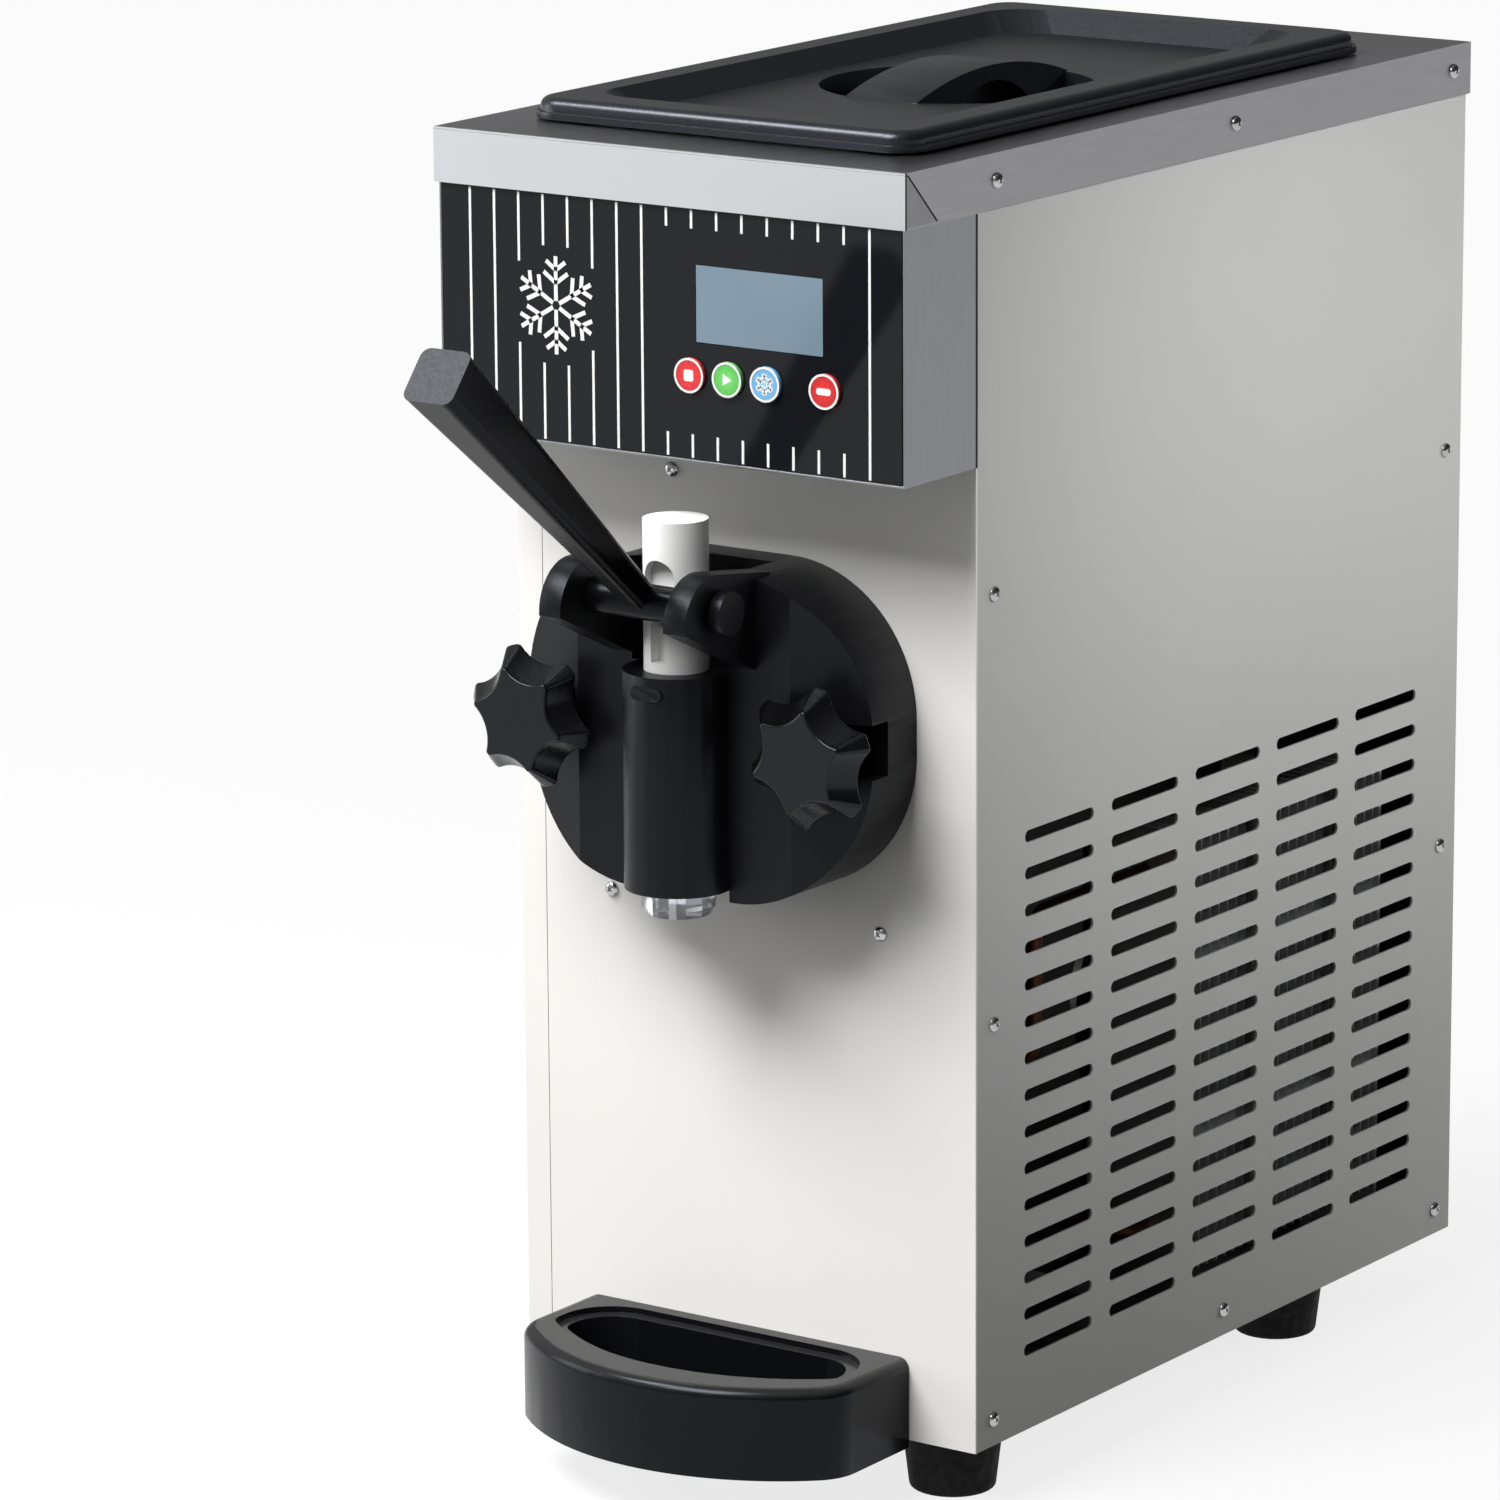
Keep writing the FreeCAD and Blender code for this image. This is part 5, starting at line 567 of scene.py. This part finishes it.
# The display's and window's pale blue-grey is painted backlight.
DISPLAY = BacklitCrystal("display_crystal", (0.23, 0.32, 0.385))
WINDOW = BacklitCrystal("window_film", (0.16, 0.228, 0.285))
WHITE_INK = PrintedInk("white_ink", (0.82, 0.82, 0.82))
SEAM_SHADE = BareMetal("seam_shade", (0.025, 0.025, 0.027), 0.5)


def dress(finish: Finish, *nodes: str) -> None:
    """Give modelled nodes a finish.

    Args:
        finish: The finish.
        nodes: The nodes' names.
    """
    for name in nodes:
        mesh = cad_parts[name].data
        mesh.materials.clear()
        mesh.materials.append(finish.made())
        log.info("dressed %s in %s", name, finish.name)


def soften(width: float, *nodes: str) -> None:
    """Break the sharp edges of modelled nodes, so that they catch the light.

    Args:
        width: The broken edge's width in millimetres.
        nodes: The nodes' names.
    """
    for name in nodes:
        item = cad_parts[name]
        item.modifiers.new("joined", "WELD").merge_threshold = SAME_PLACE
        edge = item.modifiers.new("broken_edges", "BEVEL")
        edge.width = width * MM
        edge.segments = BREAK_STEPS
        edge.limit_method = "ANGLE"
        edge.angle_limit = BREAK_ANGLE
        edge.harden_normals = True


def piece(name: str, form: Form, finish: Finish, body: Body,
          smooth: bool = False) -> bpy.types.Object:
    """Turn a built form into a piece that rides on a body.

    Args:
        name: The piece's name.
        form: The form, in the part's frame; it is used up.
        finish: Its finish.
        body: The body that carries it.
        smooth: Whether its faces are shaded as one curved skin.

    Returns:
        The piece's object.
    """
    bmesh.ops.recalc_face_normals(form, faces=form.faces[:])
    mesh = bpy.data.meshes.new(name)
    form.to_mesh(mesh)
    form.free()
    mesh.materials.append(finish.made())
    if smooth:
        mesh.shade_smooth()
    made = bpy.data.objects.new(name, mesh)
    bpy.context.scene.collection.objects.link(made)
    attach(made, body.value)
    log.info("made %s with %d faces", name, len(mesh.polygons))
    return made


def crisp(made: bpy.types.Object) -> None:
    """Keep the sharp edges of a smoothly shaded piece sharp."""
    made.modifiers.new("crisp", "EDGE_SPLIT").split_angle = CRISP_ANGLE


def raised(form: Form, outline: Sequence[Vector], lift: Vector) -> None:
    """Add a flat raised patch to a form.

    Args:
        form: The form that is added to.
        outline: The patch's corners in order, on the surface that carries it.
        lift: How far and which way it stands off that surface.
    """
    foot = [form.verts.new(corner) for corner in outline]
    head = [form.verts.new(corner + lift) for corner in outline]
    form.faces.new(head)
    form.faces.new(list(reversed(foot)))
    for index in range(len(foot)):
        after = (index + 1) % len(foot)
        form.faces.new((foot[index], foot[after], head[after], head[index]))


def skinned(form: Form, rows: Sequence[list[bmesh.types.BMVert]], looped: bool = False) -> None:
    """Join rings of points into a closed skin.

    Args:
        form: The form that is added to.
        rows: The rings, with as many points each.
        looped: Whether the last ring joins the first; otherwise both are covered.
    """
    for outer, inner in zip(rows, [*rows[1:], rows[0]] if looped else rows[1:]):
        for step in range(len(outer)):
            after = (step + 1) % len(outer)
            form.faces.new((outer[step], outer[after], inner[after], inner[step]))
    if not looped:
        form.faces.new(rows[-1])
        form.faces.new(list(reversed(rows[0])))


def rounded_bar(width: float, height: float, radius: float, steps: int = 6) -> list[Span]:
    """Lay out a rectangle with round corners about the origin.

    Args:
        width: Its full width.
        height: Its full height.
        radius: Its corners' radius.
        steps: Points along each corner.

    Returns:
        The outline's points.
    """
    points = []
    for quarter, (across, up) in enumerate(((1, 1), (-1, 1), (-1, -1), (1, -1))):
        middle = (across * (width / 2 - radius), up * (height / 2 - radius))
        for step in range(steps + 1):
            angle = math.pi / 2 * (quarter + step / steps)
            points.append((middle[0] + radius * math.cos(angle), middle[1] + radius * math.sin(angle)))
    return points


@dataclass
class Fascia:
    """The control box with its printed gloss panel, window and four keys; sizes in millimetres."""

    face: float = -133.0
    low: float = 416.6
    high: float = 511.4
    stripe: float = 1.1
    stripe_first: float = -93.1
    stripe_pitch: float = 11.59
    print_lift: float = 0.06
    tick_top: float = 7.0
    tick_bottom: float = 9.0
    ticks: tuple[int, int] = (8, 15)
    stripes: int = 17
    flake_middle: Span = (-52.5, 469.0)
    flake_reach: float = 19.0
    flake_line: float = 1.7
    flake_clear: float = 23.5
    key_front: float = -134.6
    key_level: float = 448.4
    key_radius: float = 6.75
    key_ring: float = 0.85
    ring_lift: float = 0.1
    sign_lift: float = 0.08
    flake_barbs: tuple[Span, ...] = ((0.45, 0.3), (0.72, 0.24))
    barb_slope: float = 0.72
    key_flake: Span = (4.2, 0.75)
    stop_square: Span = (4.4, 0.9)
    run_points: tuple[Span, ...] = ((-1.7, -2.3), (2.5, 0.0), (-1.7, 2.3))
    clean_bar: tuple[float, float, float] = (6.6, 2.6, 1.1)
    box_edge: float = 0.6
    keys: tuple[tuple[Body, float, Colour], ...] = (
        (Body.STOP, 10.6, (0.62, 0.03, 0.035)),
        (Body.RUN, 28.1, (0.12, 0.5, 0.1)),
        (Body.CHILL, 45.6, (0.17, 0.42, 0.68)),
        (Body.CLEAN, 72.5, (0.58, 0.028, 0.03)),
    )

    def build(self) -> None:
        """Dress the panel and print it."""
        dress(BOX_STEEL, "control_box")
        soften(self.box_edge, "control_box")
        dress(FASCIA_BLACK, "control_fascia")
        dress(WINDOW, "display_window")
        dress(DISPLAY, "display_module")
        dress(BOARD, "control_board")
        self.pinstripes()
        self.badge()
        for body, across, colour in self.keys:
            self.key(body, across, colour)

    def on_face(self, across: float, up: float, front: float | None = None) -> Vector:
        """Give the point of the panel, or of a plane before it, at a place across and up."""
        return Vector((across, self.face if front is None else front, up)) * MM

    def pinstripes(self) -> None:
        """Print the fine upright lines, short over and under the window and cleared round the badge."""
        form = bmesh.new()
        for index in range(self.stripes):
            across = self.stripe_first + self.stripe_pitch * index
            for low, high in self.stripe_spans(index, across):
                half = self.stripe / 2
                corners = ((-half, low), (half, low), (half, high), (-half, high))
                raised(form, [self.on_face(across + side, up) for side, up in corners],
                       Vector((0.0, -self.print_lift * MM, 0.0)))
        piece("fascia_pinstripes", form, WHITE_INK, Body.CABINET)

    def stripe_spans(self, index: int, across: float) -> list[Span]:
        """Give the stretches of one line that are printed.

        Args:
            index: The line's number from the left.
            across: Its place across the panel.

        Returns:
            The low and high end of each stretch.
        """
        first, last = self.ticks
        if first <= index <= last:
            return [(self.low, self.low + self.tick_bottom), (self.high - self.tick_top, self.high)]
        off = abs(across - self.flake_middle[0])
        if off >= self.flake_clear:
            return [(self.low, self.high)]
        chord = math.sqrt(self.flake_clear ** 2 - off ** 2)
        return [(self.low, self.flake_middle[1] - chord), (self.flake_middle[1] + chord, self.high)]

    def snowflake(self, form: Form, middle: Span, reach: float, line: float,
                  front: float, lift: float) -> None:
        """Add a plain six-armed line snowflake.

        Args:
            form: The form that is added to.
            middle: Its place across and up.
            reach: The length of an arm.
            line: The width of its lines.
            front: The plane that it is printed on.
            lift: How far the ink stands off it.
        """
        for arm in range(6):
            turn = Matrix.Rotation(math.radians(60.0 * arm), 2)
            strokes = [((0.0, line), (0.0, reach))]
            for share, side in self.flake_barbs:
                tip = reach * (share + side * self.barb_slope)
                for hand in (-1, 1):
                    strokes.append(((0.0, reach * share), (hand * reach * side, tip)))
            for start, end in strokes:
                here, there = turn @ Vector(start), turn @ Vector(end)
                square = (there - here).normalized().orthogonal() * line / 2
                corners = (here - square, there - square, there + square, here + square)
                raised(form, [self.on_face(middle[0] + c.x, middle[1] + c.y, front) for c in corners],
                       Vector((0.0, -lift * MM, 0.0)))

    def badge(self) -> None:
        """Print a line snowflake at the panel's left."""
        form = bmesh.new()
        self.snowflake(form, self.flake_middle, self.flake_reach, self.flake_line, self.face, self.print_lift)
        piece("fascia_snowflake", form, WHITE_INK, Body.CABINET)

    def key(self, body: Body, across: float, colour: Colour) -> None:
        """Dress one key and print its ring and sign.

        Args:
            body: The key.
            across: Its place across the panel.
            colour: Its colour.
        """
        middle = tuple(self.on_face(across, self.key_level, self.key_front))
        dress(KeyCap(f"{body.value}_cap", colour, middle, self.key_radius * MM), body.value)
        form = bmesh.new()
        self.ring(form, across)
        self.sign(form, body, across)
        piece(f"{body.value}_print", form, WHITE_INK, body)

    def ring(self, form: Form, across: float, steps: int = 40) -> None:
        """Add the pale rim round a key's front.

        Args:
            form: The form that is added to.
            across: The key's place across the panel.
            steps: Sides of the ring.
        """
        rows = []
        bore = 1.0 - self.key_ring / self.key_radius
        for radius, lift in ((1.0, 0.0), (1.0, self.ring_lift), (bore, self.ring_lift), (bore, 0.0)):
            rows.append([form.verts.new(self.on_face(
                across + self.key_radius * radius * math.cos(math.tau * step / steps),
                self.key_level + self.key_radius * radius * math.sin(math.tau * step / steps),
                self.key_front - lift)) for step in range(steps)])
        skinned(form, rows, looped=True)

    def sign(self, form: Form, body: Body, across: float) -> None:
        """Add the plain sign on a key's front.

        Args:
            form: The form that is added to.
            body: The key.
            across: Its place across the panel.
        """
        if body is Body.CHILL:
            reach, line = self.key_flake
            self.snowflake(form, (across, self.key_level), reach, line, self.key_front, self.sign_lift)
            return
        side, corner = self.stop_square
        shapes = {
            Body.STOP: rounded_bar(side, side, corner),
            Body.RUN: self.run_points,
            Body.CLEAN: rounded_bar(*self.clean_bar),
        }
        outline = [self.on_face(across + x, self.key_level + z, self.key_front) for x, z in shapes[body]]
        raised(form, outline, Vector((0.0, -self.sign_lift * MM, 0.0)))


@dataclass
class Cabinet:
    """The painted panels, steel cap, feet and screws; sizes in millimetres."""

    shank_radius: float = 1.5
    head_radius: float = 3.1
    head_height: float = 2.0
    cross_reach: float = 1.3
    cross_width: float = 0.6
    cross_levels: Span = (0.94, 0.4)
    cross_taper: float = 0.7
    dome_foot: float = 0.15
    dome_angles: tuple[float, ...] = (0.0, 25.0, 45.0, 60.0)
    cap_side: float = 109.15
    cap_front: float = -134.3
    cap_low: float = 512.2
    cap_high: float = 533.6
    fold_margin: float = 0.9
    lap_lift: float = 0.1
    seam_width: float = 1.3
    seam_lift: float = 0.05
    # The corner strip is painted shade of the skirt's rounded corner.
    corner_shade: float = 1.1
    edge_radius: float = 1.0
    edge_stand: float = 0.06
    box_side: float = 108.0
    box_rear: Span = (-85.3, -84.1)
    box_low: float = 415.0

    def build(self) -> None:
        """Dress the sheet metal and add its screws and seams."""
        dress(FRONT_PAINT, "front_panel")
        dress(LEFT_PAINT, "left_side_panel")
        # The right side's grey is painted shade.
        dress(SIDE_PAINT, "right_side_panel")
        dress(REAR_PAINT, "rear_panel")
        dress(GREY_PAINT, "base_pan")
        dress(CAP_STEEL, "top_cap")
        dress(RUBBER_BLACK, "rubber_feet")
        dress(BLACK_PLASTIC, "power_inlet")
        self.screws()
        self.folds()
        self.edge()

    def folds(self) -> None:
        """Lap the front skirt round the cap's corners in a darker steel, painted shade of the folded facets,
        with fine dark seams at the laps and box and a painted shade strip down each corner.
        """
        laps, seams_and_shade = bmesh.new(), bmesh.new()
        inset = Vector((0.0, self.fold_margin, -self.fold_margin))
        drop = self.cap_high - self.cap_low - 2.0 * self.fold_margin
        width, corner = (Vector((0.0, size, 0.0)) for size in (self.seam_width, self.corner_shade))
        rise = Vector((0.0, 0.0, self.cap_low - self.box_low))
        for side in (-1, 1):
            out = Vector((side * MM, 0.0, 0.0))
            top = Vector((side * self.cap_side, self.cap_front, self.cap_high))
            base = Vector((top.x, top.y, self.cap_low))
            high = top + inset
            foot = high + Vector((0.0, 0.0, -drop))
            low = high + Vector((0.0, drop, -drop))
            front, rear = (Vector((side * self.box_side, place, self.box_low)) for place in self.box_rear)
            # Each lap is painted darker as the shade of the folded facet.
            raised(laps, [point * MM for point in (high, foot, low)], out * self.lap_lift)
            # The lap seam and the box gap are dark joints; the strip down each corner is painted shade of its
            # rounded edge.
            for outline in ((high, low, low + width, high + width), (top, base, base + corner, top + corner),
                            (rear, front, front + rise, rear + rise)):
                raised(seams_and_shade, [point * MM for point in outline], out * self.seam_lift)
        piece("cap_laps", laps, SHADED_FOLD_STEEL, Body.CABINET)
        piece("cap_seams_and_shade", seams_and_shade, SEAM_SHADE, Body.CABINET)

    def edge(self, steps: int = 5) -> None:
        """Round the front skirt's top edge and paint it pale steel as its highlight.

        Args:
            steps: Facets across the round.
        """
        heart = Vector((-self.cap_side, self.cap_front + self.edge_radius, self.cap_high - self.edge_radius))
        reach = self.edge_radius + self.edge_stand
        outline = [heart * MM]
        for step in range(steps + 1):
            angle = math.pi / 2 * step / steps
            outline.append((heart + Vector((0.0, -math.cos(angle), math.sin(angle))) * reach) * MM)
        form = bmesh.new()
        raised(form, outline, Vector((2.0 * self.cap_side * MM, 0.0, 0.0)))
        # The strip is painted pale as the skirt edge's highlight.
        edge = piece("cap_front_edge", form, HIGHLIGHT_EDGE_STEEL, Body.CABINET, smooth=True)
        crisp(edge)

    def screws(self) -> None:
        """Make each screw with a domed head and a cross recess."""
        form = bmesh.new()
        for low, high in self.islands("panel_screws"):
            size = high - low
            axis = max(range(3), key=lambda index: size[index])
            middle = (low + high) / 2
            out = Vector((0.0, 0.0, 0.0))
            out[axis] = math.copysign(1.0, middle[axis])
            self.screw(form, middle - out * size[axis] / 2, out, size[axis])
        screws = piece("domed_screws", form, BRIGHT_STEEL, Body.CABINET, smooth=True)
        crisp(screws)
        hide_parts("panel_screws")

    def islands(self, node: str) -> list[tuple[Vector, Vector]]:
        """Find the boxes of a node's separate solids.

        Args:
            node: The node's name.

        Returns:
            The lowest and highest corner of each solid.
        """
        form = bmesh.new()
        form.from_mesh(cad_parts[node].data)
        bmesh.ops.remove_doubles(form, verts=form.verts[:], dist=SAME_PLACE)
        left = set(form.verts)
        boxes = []
        while left:
            reached = [left.pop()]
            for vert in reached:
                for edge in vert.link_edges:
                    other = edge.other_vert(vert)
                    if other in left:
                        left.remove(other)
                        reached.append(other)
            places = [vert.co for vert in reached]
            boxes.append((Vector(map(min, zip(*places))), Vector(map(max, zip(*places)))))
        form.free()
        return boxes

    def screw(self, form: Form, end: Vector, out: Vector, length: float, steps: int = 24) -> None:
        """Add one screw with a domed head and a cross recess.

        Args:
            form: The form that is added to.
            end: The middle of its shank's end, inside the panel.
            out: The way that its head points.
            length: Its full length in metres.
            steps: Points around it.
        """
        across = out.orthogonal().normalized()
        up = out.cross(across)

        def ring(radii: Sequence[float], level: float) -> list[bmesh.types.BMVert]:
            """Add one ring of points at a level, with its radius at each step."""
            return [form.verts.new(end + out * level + (across * math.cos(math.tau * step / steps)
                                   + up * math.sin(math.tau * step / steps)) * radii[step])
                    for step in range(steps)]

        full, height = self.head_radius * MM, self.head_height * MM
        neck = length - height
        cross = [self.cross_at(math.tau * step / steps) * MM for step in range(steps)]
        rows = [ring([self.shank_radius * MM] * steps, level) for level in (0.0, neck)]
        rows.append(ring([full] * steps, neck))
        for bulge in map(math.radians, self.dome_angles):
            rise = self.dome_foot + (1.0 - self.dome_foot) * math.sin(bulge)
            rows.append(ring([full * math.cos(bulge)] * steps, neck + height * rise))
        mouth, bed = self.cross_levels
        rows.append(ring(cross, neck + height * mouth))
        rows.append(ring([radius * self.cross_taper for radius in cross], neck + height * bed))
        skinned(form, rows)

    def cross_at(self, angle: float) -> float:
        """Give the cross recess's radius at an angle about its middle."""
        turn = angle % (math.pi / 2)
        off = min(turn, math.pi / 2 - turn)
        if self.cross_reach * math.sin(off) <= self.cross_width / 2:
            return self.cross_reach
        return self.cross_width / 2 / math.sin(off)


@dataclass
class Hopper:
    """The mix tub, its feed tube and the lid; sizes in millimetres."""

    lid_edge: float = 0.8

    def build(self) -> None:
        """Dress the hopper."""
        dress(INNER_STEEL, "hopper_tub", "hopper_neck")
        dress(WHITE_PLASTIC, "feed_tube")
        dress(LID_PLASTIC, "hopper_lid")
        soften(self.lid_edge, "hopper_lid")


@dataclass
class DispensingHead:
    """The clamped head with its lever, plunger, knobs and nozzle; sizes in millimetres."""

    column_axis: float = -129.2
    column_radius: float = 21.0
    tab_level: float = 326.5
    tab_width: float = 15.0
    tab_height: float = 5.2
    tab_lift: float = 0.9
    tab_root: float = -0.2
    tab_wall: float = 0.6
    tab_slope: float = -0.5
    tab_flat: float = 0.01
    knob_edge: float = 1.2
    head_edge: float = 1.0

    def build(self) -> None:
        """Dress the head and add the moulded tab on its column."""
        dress(BLACK_PLASTIC, "dispensing_head")
        dress(KNOB_PLASTIC, "left_knob", "right_knob")
        soften(self.knob_edge, "left_knob", "right_knob")
        dress(LEVER_PLASTIC, "draw_lever")
        dress(WHITE_PLASTIC, "valve_plunger")
        dress(CLEAR_PLASTIC, "star_nozzle")
        dress(SEAL_RUBBER, "head_seal", "plunger_seals", "shaft_seal")
        dress(BLACK_PLASTIC, "lever_pin")
        dress(INNER_STEEL, "knob_studs")
        soften(self.head_edge, "dispensing_head", "lever_pin")
        self.tab()

    def tab(self) -> None:
        """Raise the small round-ended tab near the column's top."""
        form = bmesh.new()
        rows = []
        wall = self.tab_lift * self.tab_wall
        for grow, lift in ((0.0, self.tab_root), (0.0, wall), (self.tab_slope, self.tab_lift)):
            width, height = self.tab_width + grow, self.tab_height + grow
            reach = self.column_radius + lift
            ring = []
            for across, up in rounded_bar(width, height, height / 2 - self.tab_flat):
                angle = across / self.column_radius
                front = self.column_axis - reach * math.cos(angle)
                place = Vector((reach * math.sin(angle), front, self.tab_level + up))
                ring.append(form.verts.new(place * MM))
            rows.append(ring)
        skinned(form, rows)
        piece("column_tab", form, BLACK_PLASTIC, Body.CABINET)


@dataclass
class DripTray:
    """The basin under the nozzle and its rails; sizes in millimetres."""

    tray_edge: float = 1.0

    def build(self) -> None:
        """Dress the tray."""
        dress(TRAY_PLASTIC, "drip_tray")
        soften(self.tray_edge, "drip_tray")
        dress(PLAIN_STEEL, "tray_rails")


@dataclass
class Freezer:
    """The freezing cylinder, its beater and the drive behind it."""

    def build(self) -> None:
        """Dress the cylinder and the drive."""
        dress(INNER_STEEL, "freezing_cylinder", "beater")
        dress(SHADE_DARK_COPPER, "evaporator_jacket")
        dress(FOAM, "insulation_sleeve")
        dress(WHITE_PLASTIC, "scraper_blades")
        # The drive plate is dressed black as painted shade seen through the side slots.
        dress(BLACK_ENAMEL_AND_SHADE, "drive_plate")
        dress(CAST_ALLOY, "gearbox_case", "gearbox_pulley", "drive_motor")
        dress(GEAR_NYLON, "drive_gear")
        dress(GEAR_STEEL, "drive_pinion", "motor_pulley")
        dress(RUBBER_BLACK, "drive_belt")


@dataclass
class CoolingPlant:
    """The compressor, condenser, fan and pipes."""

    def build(self) -> None:
        """Dress the plant."""
        dress(BLACK_ENAMEL_AND_SHADE, "compressor")
        dress(CAST_ALLOY, "fan_motor")
        dress(RUBBER_BLACK, "compressor_mounts")
        dress(FIN_ALLOY, "condenser")
        dress(BLACK_PLASTIC, "fan_shroud", "fan_blade")
        # The pipes' dark copper is painted shade inside the cabinet.
        dress(SHADE_DARK_COPPER, "filter_drier", "discharge_line", "liquid_line", "capillary_line", "suction_line")


@dataclass(frozen=True)
class Lamp:
    """One lamp: a soft square panel, or a spot where it has a cone in degrees; mirrors show it or not."""

    name: str
    place: Point
    aim: Point
    size: float
    power: float
    mirrored: bool = True
    cone: float | None = None


@dataclass
class Studio:
    """The pale floor, the soft lights and the camera."""

    lens: float = 180.744
    sensor: float = 36.0
    shift: Span = (-0.00577, 0.00208)
    stand: Point = (1.64310, -2.40949, 0.96382)
    azimuth: float = 35.141
    elevation: float = 13.304
    roll: float = -0.366
    sight: float = 50.0
    floor_half: float = 16.0
    floor_tone: float = 0.8
    floor_bounce: float = 0.08
    floor_reach: Span = (0.3, 2.0)
    floor_glow: Span = (0.8, 0.95)
    bright_side: Point = (-0.75, -0.45, 0.3)
    room_span: Span = (-0.6, 0.9)
    room_light: Span = (0.04, 0.42)
    lamps: tuple[Lamp, ...] = (
        Lamp("key_lamp", (-0.35, -1.8, 2.5), (0.0, -0.08, 0.3), 1.35, 94.0),
        Lamp("left_lamp", (-1.9, -0.9, 0.7), (0.0, -0.08, 0.3), 1.0, 9.0),
        Lamp("edge_lamp", (-0.95, -0.85, 1.75), (0.0, -0.26, 0.45), 0.6, 20.0),
        Lamp("side_spot_front", (1.6, 0.7, 1.1), (0.108, 0.0, 0.46), 0.3, 52.0, False, 20.0),
        Lamp("side_spot_rear", (1.6, 0.9, 1.1), (0.108, 0.2, 0.45), 0.3, 60.0, False, 22.0),
        Lamp("rear_lamp", (0.45, 0.75, 0.3), (0.108, 0.3, 0.1), 0.4, 2.2, False),
    )

    def build(self) -> None:
        """Set the stage up."""
        bpy.context.scene.view_settings.view_transform = "Standard"
        self.camera()
        self.world()
        self.floor()
        for lamp in self.lamps:
            self.hang(lamp)

    def camera(self) -> None:
        """Put the camera where the picture was taken from."""
        turn, tilt, roll = (math.radians(angle) for angle in (self.azimuth, self.elevation, self.roll))
        back = Vector((math.sin(turn) * math.cos(tilt), -math.cos(turn) * math.cos(tilt), math.sin(tilt)))
        level = (-back).cross(Vector((0.0, 0.0, 1.0))).normalized()
        down = (-back).cross(level)
        right = math.cos(roll) * level - math.sin(roll) * down
        up = -(math.sin(roll) * level + math.cos(roll) * down)
        data = bpy.data.cameras.new("camera")
        data.lens = self.lens
        data.sensor_width = self.sensor
        data.shift_x, data.shift_y = self.shift
        data.clip_end = self.sight
        camera = bpy.data.objects.new("camera", data)
        place = Matrix((right, up, back)).transposed().to_4x4()
        place.translation = Vector(self.stand)
        camera.matrix_world = place
        bpy.context.scene.collection.objects.link(camera)
        bpy.context.scene.camera = camera

    def seen_directly(self, tree: Tree) -> Socket:
        """Tell rays that see the background from those that light the object.

        Args:
            tree: The node tree.

        Returns:
            1 for a camera, mirror or glass ray, and 0 for the rest.
        """
        path = added(tree, "LightPath")
        seen, *others = (path.outputs[f"Is {kind} Ray"] for kind in ("Camera", "Glossy", "Transmission"))
        for other in others:
            seen = added(tree, "Math", {0: seen, 1: other}, operation="MAXIMUM").outputs[0]
        return seen

    def world(self) -> None:
        """Give the room soft light that is brightest at the front left and dim at the right."""
        world = bpy.data.worlds.new("studio")
        tree = emptied(world)
        look, side = added(tree, "TexCoord").outputs["Generated"], Vector(self.bright_side).normalized()
        way = added(tree, "VectorMath", {0: look, 1: side}, operation="DOT_PRODUCT")
        level = remapped(tree, way.outputs["Value"], self.room_span, self.room_light)
        background = added(tree, "Background", {"Color": (1.0, 1.0, 1.0), "Strength": level})
        added(tree, "OutputWorld", {"Surface": background.outputs["Background"]})
        bpy.context.scene.world = world

    def floor(self) -> None:
        """Lay a pale floor that keeps the machine's shadow."""
        form = bmesh.new()
        bmesh.ops.create_grid(form, x_segments=8, y_segments=8, size=self.floor_half)
        mesh = bpy.data.meshes.new("floor")
        form.to_mesh(mesh)
        form.free()
        material = bpy.data.materials.new("pale_floor")
        tree = emptied(material)
        matt, dull = (added(tree, "BsdfDiffuse", {"Color": (tone, tone, tone)}).outputs["BSDF"]
                      for tone in (self.floor_tone, self.floor_bounce))
        glow = added(tree, "Emission", {"Strength": 1.0}).outputs["Emission"]
        place = added(tree, "TexCoord").outputs["Object"]
        away = added(tree, "VectorMath", {0: place}, operation="LENGTH").outputs["Value"]
        share = remapped(tree, away, self.floor_reach, self.floor_glow)
        pale = added(tree, "MixShader", {"Fac": share, 1: matt, 2: glow}).outputs["Shader"]
        mix = added(tree, "MixShader", {"Fac": self.seen_directly(tree), 1: dull, 2: pale})
        added(tree, "OutputMaterial", {"Surface": mix.outputs["Shader"]})
        mesh.materials.append(material)
        floor = bpy.data.objects.new("floor", mesh)
        bpy.context.scene.collection.objects.link(floor)

    def hang(self, lamp: Lamp) -> None:
        """Hang one lamp and aim it."""
        if lamp.cone is None:
            data = bpy.data.lights.new(lamp.name, "AREA")
            data.shape = "SQUARE"
            data.size = lamp.size
        else:
            data = bpy.data.lights.new(lamp.name, "SPOT")
            data.spot_size = math.radians(lamp.cone)
            data.spot_blend = 1.0
            data.shadow_soft_size = lamp.size / 2
        data.energy = lamp.power
        hung = bpy.data.objects.new(lamp.name, data)
        hung.location = lamp.place
        hung.visible_glossy = lamp.mirrored
        hung.rotation_euler = (Vector(lamp.aim) - Vector(lamp.place)).to_track_quat("-Z", "Y").to_euler()
        bpy.context.scene.collection.objects.link(hung)


def main() -> None:
    """Build the looks in order."""
    logging.basicConfig(level=logging.INFO, format="%(message)s")
    parts: tuple[type, ...] = (
        Studio, Cabinet, Fascia, Hopper, DispensingHead, DripTray, Freezer, CoolingPlant)
    for part in parts:
        part().build()


if __name__ == "__main__":
    main()
